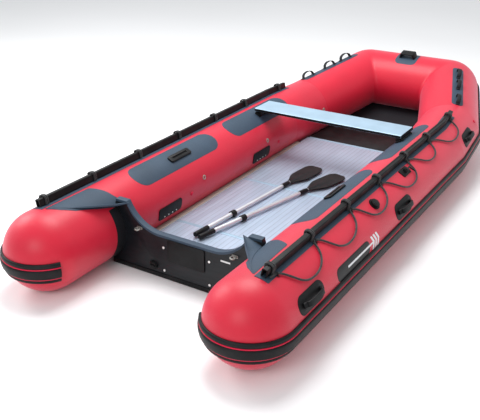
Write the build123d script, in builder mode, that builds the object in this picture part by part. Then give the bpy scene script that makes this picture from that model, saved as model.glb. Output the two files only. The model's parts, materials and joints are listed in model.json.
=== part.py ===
"""Inflatable dinghy: two buoyancy tubes joined round the bow, V bottom over an air keel, aluminium
floor, plywood transom, bench seat, lifelines, oarlocks and a stowed pair of oars.

Millimetres. +X is starboard, +Y is the bow, +Z is up. The origin is on the ground under the middle
of the boat. A station is a distance forward of the centre of the stern domes. An angle round a tube
is counted from its top, positive outboard.
"""
from build123d import *
import os
from dataclasses import dataclass
from math import cos, degrees, pi, radians, sin, sqrt, tan

os.makedirs("parts", exist_ok=True)

# ---------------------------------------------------------------- driving dimensions
# Buoyancy tubes
TUBE_R = 250                     # outside radius of every tube
SKIN = 1.5                       # coated fabric
TUBE_SPACING = 1420              # between the axes of the side tubes
SHOULDER_STATION = 2700          # where the side tubes start to turn in
HALF_SPACING = TUBE_SPACING / 2
CHEEK = (HALF_SPACING - 50, 3230, 13)         # x, station and rise of the second bend
BOW_CORNER = (HALF_SPACING - 310, 4020, 165)  # x, station and rise of the bow corner
GLUE = 0.3                       # adhesive film between a tube and what is glued to it
GAP = 0.5                        # clearance between soft pieces that aren't glued
CUT_OVER = 2                     # how much wider a cutter is than what it cuts

# Rub strake
STRAKE_WIDTH = 130
STRAKE_PROUD = 20
STRAKE_EDGE_PROUD = 14
STRAKE_GROOVE = 6                # width of each pinstripe groove
STRAKE_EDGE = 28                 # width of each narrow outer rib
STRAKE_DROP = 8                  # degrees below the tube's widest line
STRAKE_WRAP = 153                # degrees round a stern dome, from outboard

# Transom
TRANSOM_STATION = 430            # its aft face
TRANSOM_THICK = 36
TRANSOM_BOTTOM = 10
TRANSOM_LOW = 298                # top edge in the middle
TRANSOM_EAR = 458                # top edge beside the tubes
TRANSOM_FLAT = 190               # half the straight part of the top edge
EAR_INNER = HALF_SPACING - 274   # where the curved part ends
EAR_OUTER = HALF_SPACING - 190
CAP_WALL = 3
CAP_LIP = 14
FOOT_WALL = 5
FOOT_HEIGHT = 24
FOOT_INSET = 10                  # how far the foot stops short of the bottom sheet's edge
MOTOR_PAD = (270, 150, 8)        # width, height, thickness
PAD_CORNER = 12
RUNNING_FIT = 0.05               # radial clearance of what turns or slides
GUSSET_THICK = 1.2
GUSSET_PEAK_X = HALF_SPACING - 310
GUSSET_STATIONS = (35, 515)      # where a gusset starts and ends along the tube
GUSSET_ANGLE = -47               # of its web's lowest point on the tube
GUSSET_LAP_ANGLE = -56           # of the lowest point of its skirt
GUSSET_PLAN = (                  # x and station of the skirt's outline
    (710, 30), (700, 390), (618, 445), (567, 445), (500, 515), (505, 430), (527, 415), (640, 120),
)
TOW_EYE = (345, 305)             # x and height of the towing eyes
EYE_PLATE = (42, 20, 3)          # width, height, thickness
EYE_R = 12                       # inside radius of the eye
EYE_WALL = 8
EYE_ROOT = 1                     # how far the eye runs into its plate
DRAIN_PLACE = (-250, 75)         # x and height
DRAIN_R = 17
DRAIN_WALL = 5
DRAIN_FLANGE_R = 30
PLUG_LENGTH = 46
PLUG_TAB = (12, 10)              # width and reach of the plug's tab

# Bottom and keel
BOTTOM_ANGLE = 150               # where the bottom sheet meets a tube, degrees from its top
BOTTOM_THICK = 1.2
KEEL_Z = 8                       # underside of the bottom sheet on the centreline
KEEL_STRIP = (60, 5)             # width and thickness of the wear strip
KEEL_RISE = 30                   # underside of the sheet on the centreline at the second bend
KEEL_STATION = TRANSOM_STATION + 45  # aft end of the keel tube
STRIP_SHARE = 0.9                # share of the last rise that the wear strip covers

# Floor
FLOOR_TOP = 120
FLOOR_THICK = 20
FLOOR_WALL = 1.6
FLOOR_HALF = HALF_SPACING - 254
FLOOR_STARTS = (TRANSOM_STATION + 50, 945, 1805)  # aft edges of the three panels
FLOOR_END = 2885
FLOOR_CELLS = 12
JOINER_WEB = 4
JOINER_WIDTH = 26
JOINER_WALL = 1.5
JOINER_HALF = FLOOR_HALF - 16
STRINGER = (46, 3, 12)           # width, wall, how far it laps the floor
STRINGER_END = 2730
# Half widths of the bow board aft, at the second bend and at its fore edge.
BOW_BOARD_HALF = (HALF_SPACING - 255, HALF_SPACING - 270, HALF_SPACING - 325)
BOW_BOARD_END = 3500
BOW_BOARD_THICK = 12

# Seat
SEAT_STATION = 2355
SEAT_LENGTH = TUBE_SPACING - 190
SEAT_WIDTH = 240
SEAT_THICK = 24
SEAT_TOP = 532
SEAT_WALL = 2
SEAT_CELLS = 3
SEAT_CELL = 72
SEAT_EDGE_R = 8
SEAT_END_THICK = 3
AFT_HOLDER_STATION = 1192
HOOK_LENGTH = 200
HOOK_HALF = 20
TONGUE = (150, 4, 8)             # length, thickness, depth below the holder's top
TONGUE_CLEAR = 3

# Rails and lifelines
RAIL_ANGLE = 12.2
RAIL_WIDTH = 34
RAIL_HEIGHT = 48
RAIL_WALL = 6
RAIL_START = 30
RAIL_END = 2950
RAIL_PAD = (84, 2.5)             # width and thickness
ROPE_R = 6
ROPE_LIFT = 10.5                 # from the tube to the rope's centre
RAIL_CORNER = 6
RAIL_PAD_MORE = 20               # how far the pad runs past either end of its rail
TIE_STATIONS = (80, 500, 960, 1410, 1880, 2320, 2850)
CLIP_AHEAD = 20                  # from a tie to the middle of its clip
CLIP_ANGLE = 19.7
CLIP_R = 9
CLIP_WALL = 1.2
CLIP_TAB = 12
CLIP_LENGTH = 10
# Starboard lifeline, from the bow aft: (station, angle) by eye, mirrored to port.
ROPE_ROUTE = (
    (2885, 19.2), (2850, 19.4), (2836, 27), (2812, 36), (2752, 42.5), (2664, 45),
    (2580, 44), (2510, 38.5), (2456, 30), (2400, 22.5), (2350, 19.4), (2320, 19.2),
    (2304, 27), (2276, 36.5), (2218, 42.5), (2140, 43.5), (2066, 39.5), (2010, 31),
    (1956, 22.5), (1912, 19.4), (1880, 19.2), (1868, 29), (1854, 40), (1808, 49),
    (1718, 52), (1628, 49.5), (1560, 40), (1506, 28), (1455, 19.9), (1410, 19.2),
    (1395, 28.5), (1362, 39), (1296, 47.5), (1200, 50.8), (1108, 46.5), (1058, 36),
    (1022, 25.5), (990, 19.7), (960, 19.2), (944, 28), (906, 38.5), (832, 47.5),
    (738, 51), (648, 47), (598, 37), (564, 26.5), (532, 19.8), (500, 19.2),
    (484, 29), (452, 39.5), (390, 48.5), (300, 51.5), (216, 47.5), (170, 37),
    (136, 26.5), (108, 19.8), (80, 19.2), (48, 18.8),
)
ROPE_BEND_LIMIT = 150            # largest bend radius of the rope

# Fittings on the tubes
HANDLE_STATIONS = (215, 1490)    # the third sits on the shoulder
HANDLE_ANGLE = 68
BOW_HANDLE_ALONG = 200
BOW_HANDLE_ANGLE = 62
HANDLE_PAD = (270, 108, 3)       # length, width, thickness
HANDLE_GRIP = (190, 30, 42, 13)  # length, width, height, bar thickness
BRIDGE_SLANT = 0.3               # how far a bridge's leg leans in, per unit of height
BRIDGE_LEG = 1.2                 # thickness of a bridge's foot per unit of its bar
VALVE_STATION = 1200
VALVE_ANGLE = 35
VALVE_R = 38
VALVE_BORE = 22
VALVE_WALL = 3
VALVE_FLANGE = 5
VALVE_DEPTH = 26
VALVE_CAP = (30, 14, 2.5)        # radius, height, wall
VALVE_TAB = (8, 4)
STEM_R = 4
STEM_SEAL = (15, 2)              # radius and thickness
STEM_BUTTON = (8, 4)
STEM_LENGTH = 29
OARLOCK_STATION = 1758
OARLOCK_ANGLE = 29.3
OARLOCK_PAD = (120, 58, 5)
LOCK_SADDLE = 3
LOCK_HUB_R = 18
LOCK_HUB_HEIGHT = 14
LOCK_POST_R = 6
LOCK_KNOB = (10, 5)              # radius and height
LOCK_ARM = 62
LOCK_ARM_WIDTH = 12
LOCK_PIN = (46, 5)               # length and radius
LOCK_PIN_TURN = -77
WEAR_STARTS = (695, 1810)        # aft ends of the two wear patches
WEAR_ENDS = (1625, 2695)
WEAR_ANGLE = -26
WEAR_PAD = (182, 1.2)            # width and thickness
HOLDER = (228, 56, 12)           # length, width, height
HOLDER_ANGLE = -27
HOLDER_CORNER = 16
HOLDER_SLOT = 16                 # width of the slot for the seat's tongue
HOLDER_FLOOR = 2
CLEAT_STATIONS = (893, 2090)
CLEAT_PLATE = (250, 86, 6)
CLEAT_ANGLE = -98
SCREW_COUNT = 4
SCREW_PITCH = 43
SCREW_ANGLE = -104
SCREW = (5, 2.5)                 # head radius and height
BOLT_HEIGHTS = (60, 218)
BOLT_X = 167
BOLT = (8, 4)
RING_STATIONS = (1300, 2190)
RING_SHORT = 95                  # how far the third ring is aft of the second bend
RING_ANGLE = -78
RING = (17, 9, 4)                # outside and inside radius, thickness
RING_SEAT = 0.2
BUMP_STATIONS = (1140, 2370)
BUMP_ANGLE = -93
BOW_BUMP_ANGLE = 55
BUMP_SHORT = 30
BUMP = (14, 6)
BOW_PATCH = (700, 95, 1.2)
BOW_PATCH_ALONG = 390
BOW_PATCH_ANGLE = 12
BOW_LOOPS_ALONG = (111, 387, 600)
BOW_LOOP = (150, 36, 52, 7)      # length, width, height, wall
LOOP_SAG = 0.5
GUIDE = (150, 80, 46)            # bow line guide: across, along, height
GUIDE_ANGLE = -12.7
GUIDE_WALL = 14
GUIDE_PAD = (200, 200, 1.2)
GUIDE_PAD_ANGLE = -14.5

# Oars, lying on the floor
SHAFT_R = 14
BLADE = (410, 160, 5)
PORT_OAR = ((-190, 790), (-92, 1850))
STARBOARD_OAR = ((-146, 775), (85, 1803))
COLLAR_AT = 400                  # from the grip's end to the joint collar
COLLAR_LENGTH = 42
GRIP_LENGTH = 130
GRIP_SEAT = 12                   # thickness of the grip's closed end
SHAFT_WALL = 1.5
UPPER_SHAFT_R = SHAFT_R + SHAFT_WALL
GRIP_R = UPPER_SHAFT_R + 1.5
COLLAR_R = UPPER_SHAFT_R + 6.5
LOWER_SHAFT = 830                # length showing below the grip, with what is inside the upper shaft
NECK_LENGTH = 70
NECK_DEPTH = 20
BLADE_TAPER = 14
RIB_SHARE = 0.75
RIB_WIDTH = 22
RIB_HEIGHT = 16
OAR_SLOPE = 0.004                # drop of an oar per unit of its length, towards the blade
OAR_CLEAR = 0.3

# ---------------------------------------------------------------- worked out from them
BOW_FRONT = BOW_CORNER[1] + TUBE_R + STRAKE_PROUD
STERN_BACK = -(TUBE_R + STRAKE_PROUD)
MIDSHIP = (BOW_FRONT + STERN_BACK) / 2
MIDDLE = Plane((0, 0, 0), z_dir=(-1, 0, 0))
FULL_REACH = TUBE_R + STRAKE_PROUD + 200


def at(x, station, rise):
    """Point given by x, station and height above the tube axis."""
    return Vector(x, station - MIDSHIP, rise + TUBE_R)


CHAIN = [
    at(HALF_SPACING, 0, 0),
    at(HALF_SPACING, SHOULDER_STATION, 0),
    at(*CHEEK),
    at(*BOW_CORNER),
    at(-BOW_CORNER[0], *BOW_CORNER[1:]),
]


@dataclass(frozen=True)
class Leg:
    """One straight stretch of tube, from start to end."""

    start: Vector
    end: Vector

    @property
    def length(self):
        """Length of the stretch."""
        return (self.end - self.start).length

    @property
    def along(self):
        """Unit vector towards the bow."""
        return (self.end - self.start).normalized()

    @property
    def outboard(self):
        """Level unit vector away from the boat."""
        return self.along.cross(Vector(0, 0, 1)).normalized()

    @property
    def up(self):
        """Unit vector square to the other two."""
        return self.outboard.cross(self.along)

    def section(self, distance):
        """Plane across the tube, looking aft: x outboard, y up."""
        return Plane(self.start + self.along * distance, x_dir=self.outboard, z_dir=-self.along)

    def tangent(self, distance, angle, lift=0.0):
        """Plane on the tube's surface: x towards the bow, z out of the tube."""
        out = self.outboard * sin(radians(angle)) + self.up * cos(radians(angle))
        return Plane(
            self.start + self.along * distance + out * (TUBE_R + lift),
            x_dir=self.along,
            z_dir=out,
        )


SIDE, SHOULDER, CHEEK_LEG, FRONT = (Leg(a, b) for a, b in zip(CHAIN, CHAIN[1:]))


def mitre(before, after):
    """Plane that halves the bend between two legs, its normal towards the bow end."""
    return Plane(before.end, z_dir=before.along + after.along)


SHOULDER_MITRE = mitre(SIDE, SHOULDER)
CHEEK_MITRE = mitre(SHOULDER, CHEEK_LEG)
CORNER_MITRE = mitre(CHEEK_LEG, FRONT)


def save(piece, node):
    """Label a finished part and write it as its own file."""
    piece.label = node
    export_step(piece, f"parts/{node}.step")


def ring_sector(inner, outer, first, last):
    """Sketch a ring sector between two angles, in degrees from the sketch's x axis."""
    with BuildLine() as outline:
        outside = CenterArc((0, 0), outer, first, last - first)
        inside = CenterArc((0, 0), inner, first, last - first)
        Line(outside @ 0, inside @ 0)
        Line(outside @ 1, inside @ 1)
    make_face(outline.edges())


def round_bar(leg, radius, ball_at_start, ball_at_end):
    """Solid bar along a leg, with a ball at either end where asked."""
    with BuildPart() as bar:
        with BuildSketch(leg.section(0)):
            Circle(radius)
        extrude(amount=-leg.length)
        for wanted, point in ((ball_at_start, leg.start), (ball_at_end, leg.end)):
            if wanted:
                with Locations(point):
                    Sphere(radius)
    return bar.part


def hollow_tube(legs, planes, dome):
    """Air tube of fabric along the legs, cut by the mitre planes before, between and after them.

    legs run from the stern forwards, planes has one more entry than legs, and None means uncut.
    """
    with BuildPart() as tube:
        for leg, before, after in zip(legs, planes, planes[1:]):
            with BuildPart(mode=Mode.PRIVATE) as stretch:
                add(round_bar(leg, TUBE_R, dome or before is not None, True))
                add(round_bar(leg, TUBE_R - SKIN, dome or before is not None, True), mode=Mode.SUBTRACT)
                if before is not None:
                    split(bisect_by=before, keep=Keep.TOP)
                split(bisect_by=after, keep=Keep.BOTTOM)
            add(stretch.part)
    return tube.part


def fitted_pad(leg, centre, angle, length, width, thickness, corner, lift=GLUE):
    """Pad that follows a tube, rounded in plan, with its middle at centre along the leg."""
    half = degrees(width / 2 / TUBE_R)
    chord = 2 * (TUBE_R + lift + thickness) * sin(radians(half)) + CUT_OVER
    with BuildPart() as pad:
        with BuildSketch(leg.section(centre + length / 2)):
            ring_sector(TUBE_R + lift, TUBE_R + lift + thickness, 90 - angle - half, 90 - angle + half)
        extrude(amount=length)
        with BuildSketch(leg.tangent(centre, angle, -TUBE_R / 2)):
            RectangleRounded(length, chord, min(corner, chord / 2 - CUT_OVER / 4))
        extrude(amount=TUBE_R, mode=Mode.INTERSECT)
    return pad.part


def both_sides(pieces):
    """The pieces, which are to starboard, and their mirror images to port."""
    with BuildPart() as pair:
        for piece in pieces:
            add(piece)
        mirror(about=Plane.YZ)
    return pair.part


def to_port(piece):
    """Mirror image of a starboard piece."""
    with BuildPart() as copy:
        with BuildPart(mode=Mode.PRIVATE) as original:
            add(piece)
        mirror(original.part, about=Plane.YZ)
    return copy.part


# ---------------------------------------------------------------- buoyancy tubes
starboard_side = hollow_tube([SIDE], [None, SHOULDER_MITRE], dome=True)
with BuildPart() as starboard_side_tube:
    add(starboard_side)
    with BuildSketch(SIDE.tangent(VALVE_STATION, VALVE_ANGLE, -VALVE_DEPTH)):
        Circle(VALVE_BORE + GLUE)
    extrude(amount=2 * VALVE_DEPTH, mode=Mode.SUBTRACT)
save(starboard_side_tube.part, "starboard_side_tube")
save(to_port(starboard_side_tube.part), "port_side_tube")

starboard_bow = hollow_tube([SHOULDER, CHEEK_LEG], [SHOULDER_MITRE, CHEEK_MITRE, CORNER_MITRE], dome=False)
save(starboard_bow, "starboard_bow_tube")
save(to_port(starboard_bow), "port_bow_tube")

PORT_MITRE = Plane(
    CHAIN[4], z_dir=Vector(-CORNER_MITRE.z_dir.X, CORNER_MITRE.z_dir.Y, CORNER_MITRE.z_dir.Z)
)
with BuildPart() as bow_front_tube:
    add(round_bar(FRONT, TUBE_R, True, True))
    add(round_bar(FRONT, TUBE_R - SKIN, True, True), mode=Mode.SUBTRACT)
    split(bisect_by=CORNER_MITRE, keep=Keep.TOP)
    split(bisect_by=PORT_MITRE, keep=Keep.TOP)
save(bow_front_tube.part, "bow_front_tube")

# A baffle inside each shoulder parts the side chambers from the bow chamber.
with BuildPart() as starboard_baffle:
    add(round_bar(SIDE, TUBE_R - SKIN, False, True))
    split(bisect_by=SHOULDER_MITRE, keep=Keep.BOTTOM)
    split(bisect_by=SHOULDER_MITRE.offset(-2 * SKIN), keep=Keep.TOP)
save(both_sides([starboard_baffle.part]), "chamber_baffles")

# ---------------------------------------------------------------- rub strake
STRAKE_HALF = degrees(STRAKE_WIDTH / 2 / TUBE_R)
EDGE_ANGLE = degrees(STRAKE_EDGE / TUBE_R)
GROOVE_ANGLE = degrees(STRAKE_GROOVE / TUBE_R)
GROOVE_DEPTH = 6


def strake_profile():
    """Sketch the strake across the tube: a wide middle rib between two narrow ones."""
    low = -STRAKE_DROP - STRAKE_HALF
    high = -STRAKE_DROP + STRAKE_HALF
    inner = TUBE_R + GLUE
    outer = TUBE_R + STRAKE_PROUD
    edge = TUBE_R + STRAKE_EDGE_PROUD
    ring_sector(inner, edge - GROOVE_DEPTH, low, high)
    ring_sector(inner, edge, low, low + EDGE_ANGLE)
    ring_sector(inner, edge, high - EDGE_ANGLE, high)
    ring_sector(inner, outer, low + EDGE_ANGLE + GROOVE_ANGLE, high - EDGE_ANGLE - GROOVE_ANGLE)


def strake_stretch(leg, outward, before, after):
    """Strake along one leg on the side that faces outward, cut by the planes that are given."""
    reach = 0 if before is None else FULL_REACH
    with BuildPart() as stretch:
        with BuildSketch(Plane(leg.start - leg.along * reach, x_dir=outward, z_dir=-leg.along)):
            strake_profile()
        extrude(amount=-(leg.length + reach + FULL_REACH))
        if before is not None:
            split(bisect_by=before, keep=Keep.TOP)
        split(bisect_by=after, keep=Keep.BOTTOM)
    return stretch.part


with BuildPart() as starboard_side_strake:
    add(strake_stretch(SIDE, SIDE.outboard, None, SHOULDER_MITRE))
    with BuildSketch(SIDE.section(0)):
        strake_profile()
    revolve(axis=Axis(CHAIN[0], (0, 0, 1)), revolution_arc=-STRAKE_WRAP)
save(both_sides([starboard_side_strake.part]), "side_strakes")

# Round each bow corner the strake turns about the ball where the two legs meet.
CORNER_AXIS = CHEEK_LEG.along.cross(FRONT.along).normalized()
CHEEK_OUT = CHEEK_LEG.along.cross(CORNER_AXIS).normalized()
FRONT_OUT = FRONT.along.cross(CORNER_AXIS).normalized()
with BuildPart() as half_bow_strake:
    add(strake_stretch(SHOULDER, SHOULDER.outboard, SHOULDER_MITRE, CHEEK_MITRE))
    add(strake_stretch(CHEEK_LEG, CHEEK_OUT, CHEEK_MITRE, Plane(CHAIN[3], z_dir=CHEEK_LEG.along)))
    with BuildSketch(Plane(CHAIN[3], x_dir=CHEEK_OUT, z_dir=-CHEEK_LEG.along)):
        strake_profile()
    revolve(axis=Axis(CHAIN[3], CORNER_AXIS), revolution_arc=CHEEK_LEG.along.get_angle(FRONT.along))
    add(strake_stretch(FRONT, FRONT_OUT, Plane(CHAIN[3], z_dir=FRONT.along), MIDDLE))
save(both_sides([half_bow_strake.part]), "bow_strake")

# ---------------------------------------------------------------- transom
AFT_FACE = TRANSOM_STATION - MIDSHIP
FORE_FACE = AFT_FACE + TRANSOM_THICK
SIDE_CLEAR = TUBE_R + GLUE + GUSSET_THICK + GAP
BOTTOM_HALF = HALF_SPACING - TUBE_R * sin(radians(180 - BOTTOM_ANGLE)) - FOOT_INSET


def cross_plane(y):
    """Upright plane across the boat at y: sketch x is starboard, sketch y is up, normal aft."""
    return Plane((0, y, 0), x_dir=(1, 0, 0), z_dir=(0, -1, 0))


def long_plane(x):
    """Upright plane along the boat at x: sketch x is the bow, sketch y is up, normal to starboard."""
    return Plane((x, 0, 0), x_dir=(0, 1, 0), z_dir=(1, 0, 0))


def transom_outline(raise_by=0.0):
    """Sketch the starboard half of the transom between the centreline and the tube."""
    low = TRANSOM_LOW + raise_by
    ear = TRANSOM_EAR + raise_by
    with BuildLine() as outline:
        Line((0, TRANSOM_BOTTOM), (0, low))
        Line((0, low), (TRANSOM_FLAT, low))
        curve = TangentArc((TRANSOM_FLAT, low), (EAR_INNER, ear), tangent=(1, 0))
        Line(curve @ 1, (EAR_OUTER, ear))
        Line((EAR_OUTER, ear), (HALF_SPACING - TUBE_R / 2, TUBE_R))
        Line((HALF_SPACING - TUBE_R / 2, TUBE_R), (BOTTOM_HALF, TRANSOM_BOTTOM))
        Line((BOTTOM_HALF, TRANSOM_BOTTOM), (0, TRANSOM_BOTTOM))
    make_face(outline.edges())
    with Locations((HALF_SPACING, TUBE_R)):
        Circle(SIDE_CLEAR, mode=Mode.SUBTRACT)


with BuildPart() as transom_board:
    with BuildSketch(cross_plane(FORE_FACE)):
        transom_outline()
    extrude(amount=TRANSOM_THICK)
    mirror(about=Plane.YZ)
    with BuildSketch(cross_plane(FORE_FACE)):
        with Locations(DRAIN_PLACE):
            Circle(DRAIN_R + DRAIN_WALL)
    extrude(amount=TRANSOM_THICK, mode=Mode.SUBTRACT)
save(transom_board.part, "transom_board")

CAP_DEPTH = TRANSOM_THICK + 2 * CAP_WALL
with BuildPart() as transom_cap:
    with BuildSketch(cross_plane(FORE_FACE + CAP_WALL)):
        transom_outline(raise_by=CAP_WALL)
    extrude(amount=CAP_DEPTH)
    with BuildSketch(cross_plane(FORE_FACE + CAP_WALL)):
        transom_outline(raise_by=-CAP_LIP)
        with Locations((EAR_OUTER + TUBE_R / 2, TRANSOM_EAR)):
            Rectangle(TUBE_R, TUBE_R)
    extrude(amount=CAP_DEPTH, mode=Mode.SUBTRACT)
    with BuildSketch(cross_plane(FORE_FACE)):
        transom_outline()
    extrude(amount=TRANSOM_THICK, mode=Mode.SUBTRACT)
    mirror(about=Plane.YZ)
save(transom_cap.part, "transom_cap")

with BuildPart() as transom_foot:
    with BuildSketch(long_plane(-BOTTOM_HALF)):
        with Locations((AFT_FACE - FOOT_WALL, TRANSOM_BOTTOM - FOOT_WALL)):
            Rectangle(TRANSOM_THICK + 2 * FOOT_WALL, FOOT_HEIGHT + FOOT_WALL, align=(Align.MIN, Align.MIN))
        with Locations((AFT_FACE, TRANSOM_BOTTOM)):
            Rectangle(TRANSOM_THICK, FOOT_HEIGHT, align=(Align.MIN, Align.MIN), mode=Mode.SUBTRACT)
    extrude(amount=2 * BOTTOM_HALF)
save(transom_foot.part, "transom_foot")

# Clamping pads for an outboard motor, one on either face, and the blocks' screws further down.
PAD_TOP = TRANSOM_LOW - CAP_LIP - GAP
with BuildPart() as motor_pads:
    for face, direction in ((AFT_FACE, 1), (FORE_FACE, -1)):
        with BuildSketch(cross_plane(face)):
            with Locations((0, PAD_TOP - MOTOR_PAD[1] / 2)):
                RectangleRounded(MOTOR_PAD[0], MOTOR_PAD[1], PAD_CORNER)
        extrude(amount=direction * MOTOR_PAD[2])
save(motor_pads.part, "motor_pads")

with BuildPart() as towing_eye:
    with BuildSketch(cross_plane(AFT_FACE)):
        with Locations(TOW_EYE):
            RectangleRounded(EYE_PLATE[0], EYE_PLATE[1], EYE_PLATE[1] / 4)
    extrude(amount=EYE_PLATE[2])
    with BuildSketch(Plane.XY.offset(TOW_EYE[1] - EYE_WALL / 2)):
        with Locations((TOW_EYE[0], AFT_FACE - EYE_PLATE[2] - EYE_R - EYE_WALL + EYE_ROOT)):
            Circle(EYE_R + EYE_WALL)
            Circle(EYE_R, mode=Mode.SUBTRACT)
    extrude(amount=EYE_WALL)
save(both_sides([towing_eye.part]), "towing_eyes")

with BuildPart() as drain_socket:
    with BuildSketch(cross_plane(FORE_FACE)):
        with Locations(DRAIN_PLACE):
            Circle(DRAIN_R + DRAIN_WALL)
    extrude(amount=TRANSOM_THICK)
    with BuildSketch(cross_plane(AFT_FACE)):
        with Locations(DRAIN_PLACE):
            Circle(DRAIN_FLANGE_R)
    extrude(amount=DRAIN_WALL)
    with BuildSketch(cross_plane(FORE_FACE)):
        with Locations(DRAIN_PLACE):
            Circle(DRAIN_R)
    extrude(amount=TRANSOM_THICK + DRAIN_WALL, mode=Mode.SUBTRACT)
save(drain_socket.part, "drain_socket")

PLUG_SEAT = AFT_FACE - DRAIN_WALL
with BuildPart() as drain_plug:
    with BuildSketch(cross_plane(PLUG_SEAT + PLUG_LENGTH)):
        with Locations(DRAIN_PLACE):
            Circle(DRAIN_R - RUNNING_FIT)
    extrude(amount=PLUG_LENGTH)
    with BuildSketch(cross_plane(PLUG_SEAT - GLUE)):
        with Locations(DRAIN_PLACE):
            Circle(DRAIN_FLANGE_R - DRAIN_WALL)
    extrude(amount=DRAIN_WALL)
    with BuildSketch(cross_plane(PLUG_SEAT)):
        with Locations(DRAIN_PLACE):
            Circle(DRAIN_R - RUNNING_FIT)
    extrude(amount=DRAIN_WALL)
    with BuildSketch(cross_plane(PLUG_SEAT - DRAIN_WALL)):
        with Locations(DRAIN_PLACE):
            RectangleRounded(2 * DRAIN_R, PLUG_TAB[0], PLUG_TAB[0] / 3)
    extrude(amount=PLUG_TAB[1])
save(drain_plug.part, "drain_plug")


# ---------------------------------------------------------------- gussets
# Each gusset is a cloth web from the transom's ear to the tube's top, glued down along the tube.
WEB_END = AFT_FACE - CAP_WALL - GAP
EAR_PEAK = Vector(GUSSET_PEAK_X, WEB_END, TRANSOM_EAR + CAP_WALL)
WEB_TOP = SIDE.tangent(GUSSET_STATIONS[0], 0).origin
WEB_LOW = SIDE.tangent(TRANSOM_STATION - CAP_WALL - GAP, GUSSET_ANGLE).origin
WEB_PLANE = Plane(EAR_PEAK, x_dir=WEB_TOP - EAR_PEAK, z_dir=(WEB_TOP - EAR_PEAK).cross(WEB_LOW - EAR_PEAK))
with BuildPart() as starboard_gusset:
    with BuildSketch(WEB_PLANE):
        with BuildLine():
            Polyline(*(WEB_PLANE.to_local_coords(v) for v in (EAR_PEAK, WEB_TOP, WEB_LOW)), close=True)
        make_face()
    extrude(amount=GUSSET_THICK)
    with BuildSketch(SIDE.section(0)):
        Circle(TUBE_R + GLUE + GUSSET_THICK / 2)
    extrude(amount=-TRANSOM_STATION, mode=Mode.SUBTRACT)
    with BuildPart(mode=Mode.PRIVATE) as skirt:
        with BuildSketch(SIDE.section(GUSSET_STATIONS[1])):
            ring_sector(TUBE_R + GLUE, TUBE_R + GLUE + GUSSET_THICK, 90, 90 - GUSSET_LAP_ANGLE)
        extrude(amount=GUSSET_STATIONS[1] - GUSSET_STATIONS[0])
        with BuildSketch(Plane.XY):
            with BuildLine():
                Polyline(*((x, station - MIDSHIP) for x, station in GUSSET_PLAN), close=True)
            make_face()
        extrude(amount=3 * TUBE_R, mode=Mode.INTERSECT)
    add(skirt.part)
save(starboard_gusset.part, "starboard_gusset")
save(to_port(starboard_gusset.part), "port_gusset")

# ---------------------------------------------------------------- bottom and keel
BOTTOM_START = FORE_FACE + FOOT_WALL + GAP


def bottom_edge(leg, plane):
    """Where the top of the bottom sheet's edge, under a leg, crosses a plane."""
    origin = leg.tangent(0, -BOTTOM_ANGLE, GLUE).origin
    reach = (plane.origin - origin).dot(plane.z_dir) / leg.along.dot(plane.z_dir)
    return origin + leg.along * reach


def under_bow(y):
    """Height of the underside of the front tube at y."""
    return CHAIN[3].Z - sqrt((TUBE_R + GLUE) ** 2 - (CHAIN[3].Y - y) ** 2)


BOTTOM_EDGES = [
    bottom_edge(SIDE, cross_plane(BOTTOM_START)),
    bottom_edge(SIDE, SHOULDER_MITRE),
    bottom_edge(SHOULDER, cross_plane(FLOOR_END - MIDSHIP)),
    bottom_edge(SHOULDER, CHEEK_MITRE),
    bottom_edge(CHEEK_LEG, CORNER_MITRE),
]
KEEL_LINE = [(edge.Y, z) for edge, z in zip(BOTTOM_EDGES, (KEEL_Z, KEEL_Z, KEEL_Z, KEEL_RISE))]
KEEL_LINE.append((BOTTOM_EDGES[-1].Y, under_bow(BOTTOM_EDGES[-1].Y) - BOTTOM_THICK - GAP))
with BuildPart() as hull_bottom:
    for edge, (y, keel_z) in zip(BOTTOM_EDGES, KEEL_LINE):
        with BuildSketch(cross_plane(y)):
            with BuildLine():
                Polyline(
                    (0, keel_z), (edge.X, edge.Z - BOTTOM_THICK), (edge.X, edge.Z),
                    (0, keel_z + BOTTOM_THICK), (-edge.X, edge.Z), (-edge.X, edge.Z - BOTTOM_THICK),
                    close=True,
                )
            make_face()
    loft(ruled=True)
save(hull_bottom.part, "hull_bottom")

STRIP_TOP = [(y, z - GLUE) for y, z in KEEL_LINE[:1] + KEEL_LINE[2:4]]
STRIP_TOP.append((STRIP_TOP[-1][0] * (1 - STRIP_SHARE) + KEEL_LINE[4][0] * STRIP_SHARE,
                  STRIP_TOP[-1][1] * (1 - STRIP_SHARE) + (KEEL_LINE[4][1] - GLUE) * STRIP_SHARE))
with BuildPart() as keel_strip:
    with BuildSketch(long_plane(-KEEL_STRIP[0] / 2)):
        with BuildLine():
            Polyline(*STRIP_TOP, *((y, z - KEEL_STRIP[1]) for y, z in reversed(STRIP_TOP)), close=True)
        make_face()
    extrude(amount=KEEL_STRIP[0])
save(keel_strip.part, "keel_strip")

KEEL_R = (FLOOR_TOP - FLOOR_THICK - KEEL_Z - BOTTOM_THICK - GLUE - GAP) / 2
KEEL_AXIS_Z = KEEL_Z + BOTTOM_THICK + GLUE + KEEL_R
KEEL_LENGTH = FLOOR_END - KEEL_STATION
with BuildPart() as keel_tube:
    with BuildSketch(Plane((0, KEEL_STATION - MIDSHIP, KEEL_AXIS_Z), x_dir=(1, 0, 0), z_dir=(0, 1, 0))):
        Circle(KEEL_R)
        Circle(KEEL_R - SKIN, mode=Mode.SUBTRACT)
    extrude(amount=KEEL_LENGTH)
save(keel_tube.part, "keel_tube")

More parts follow.
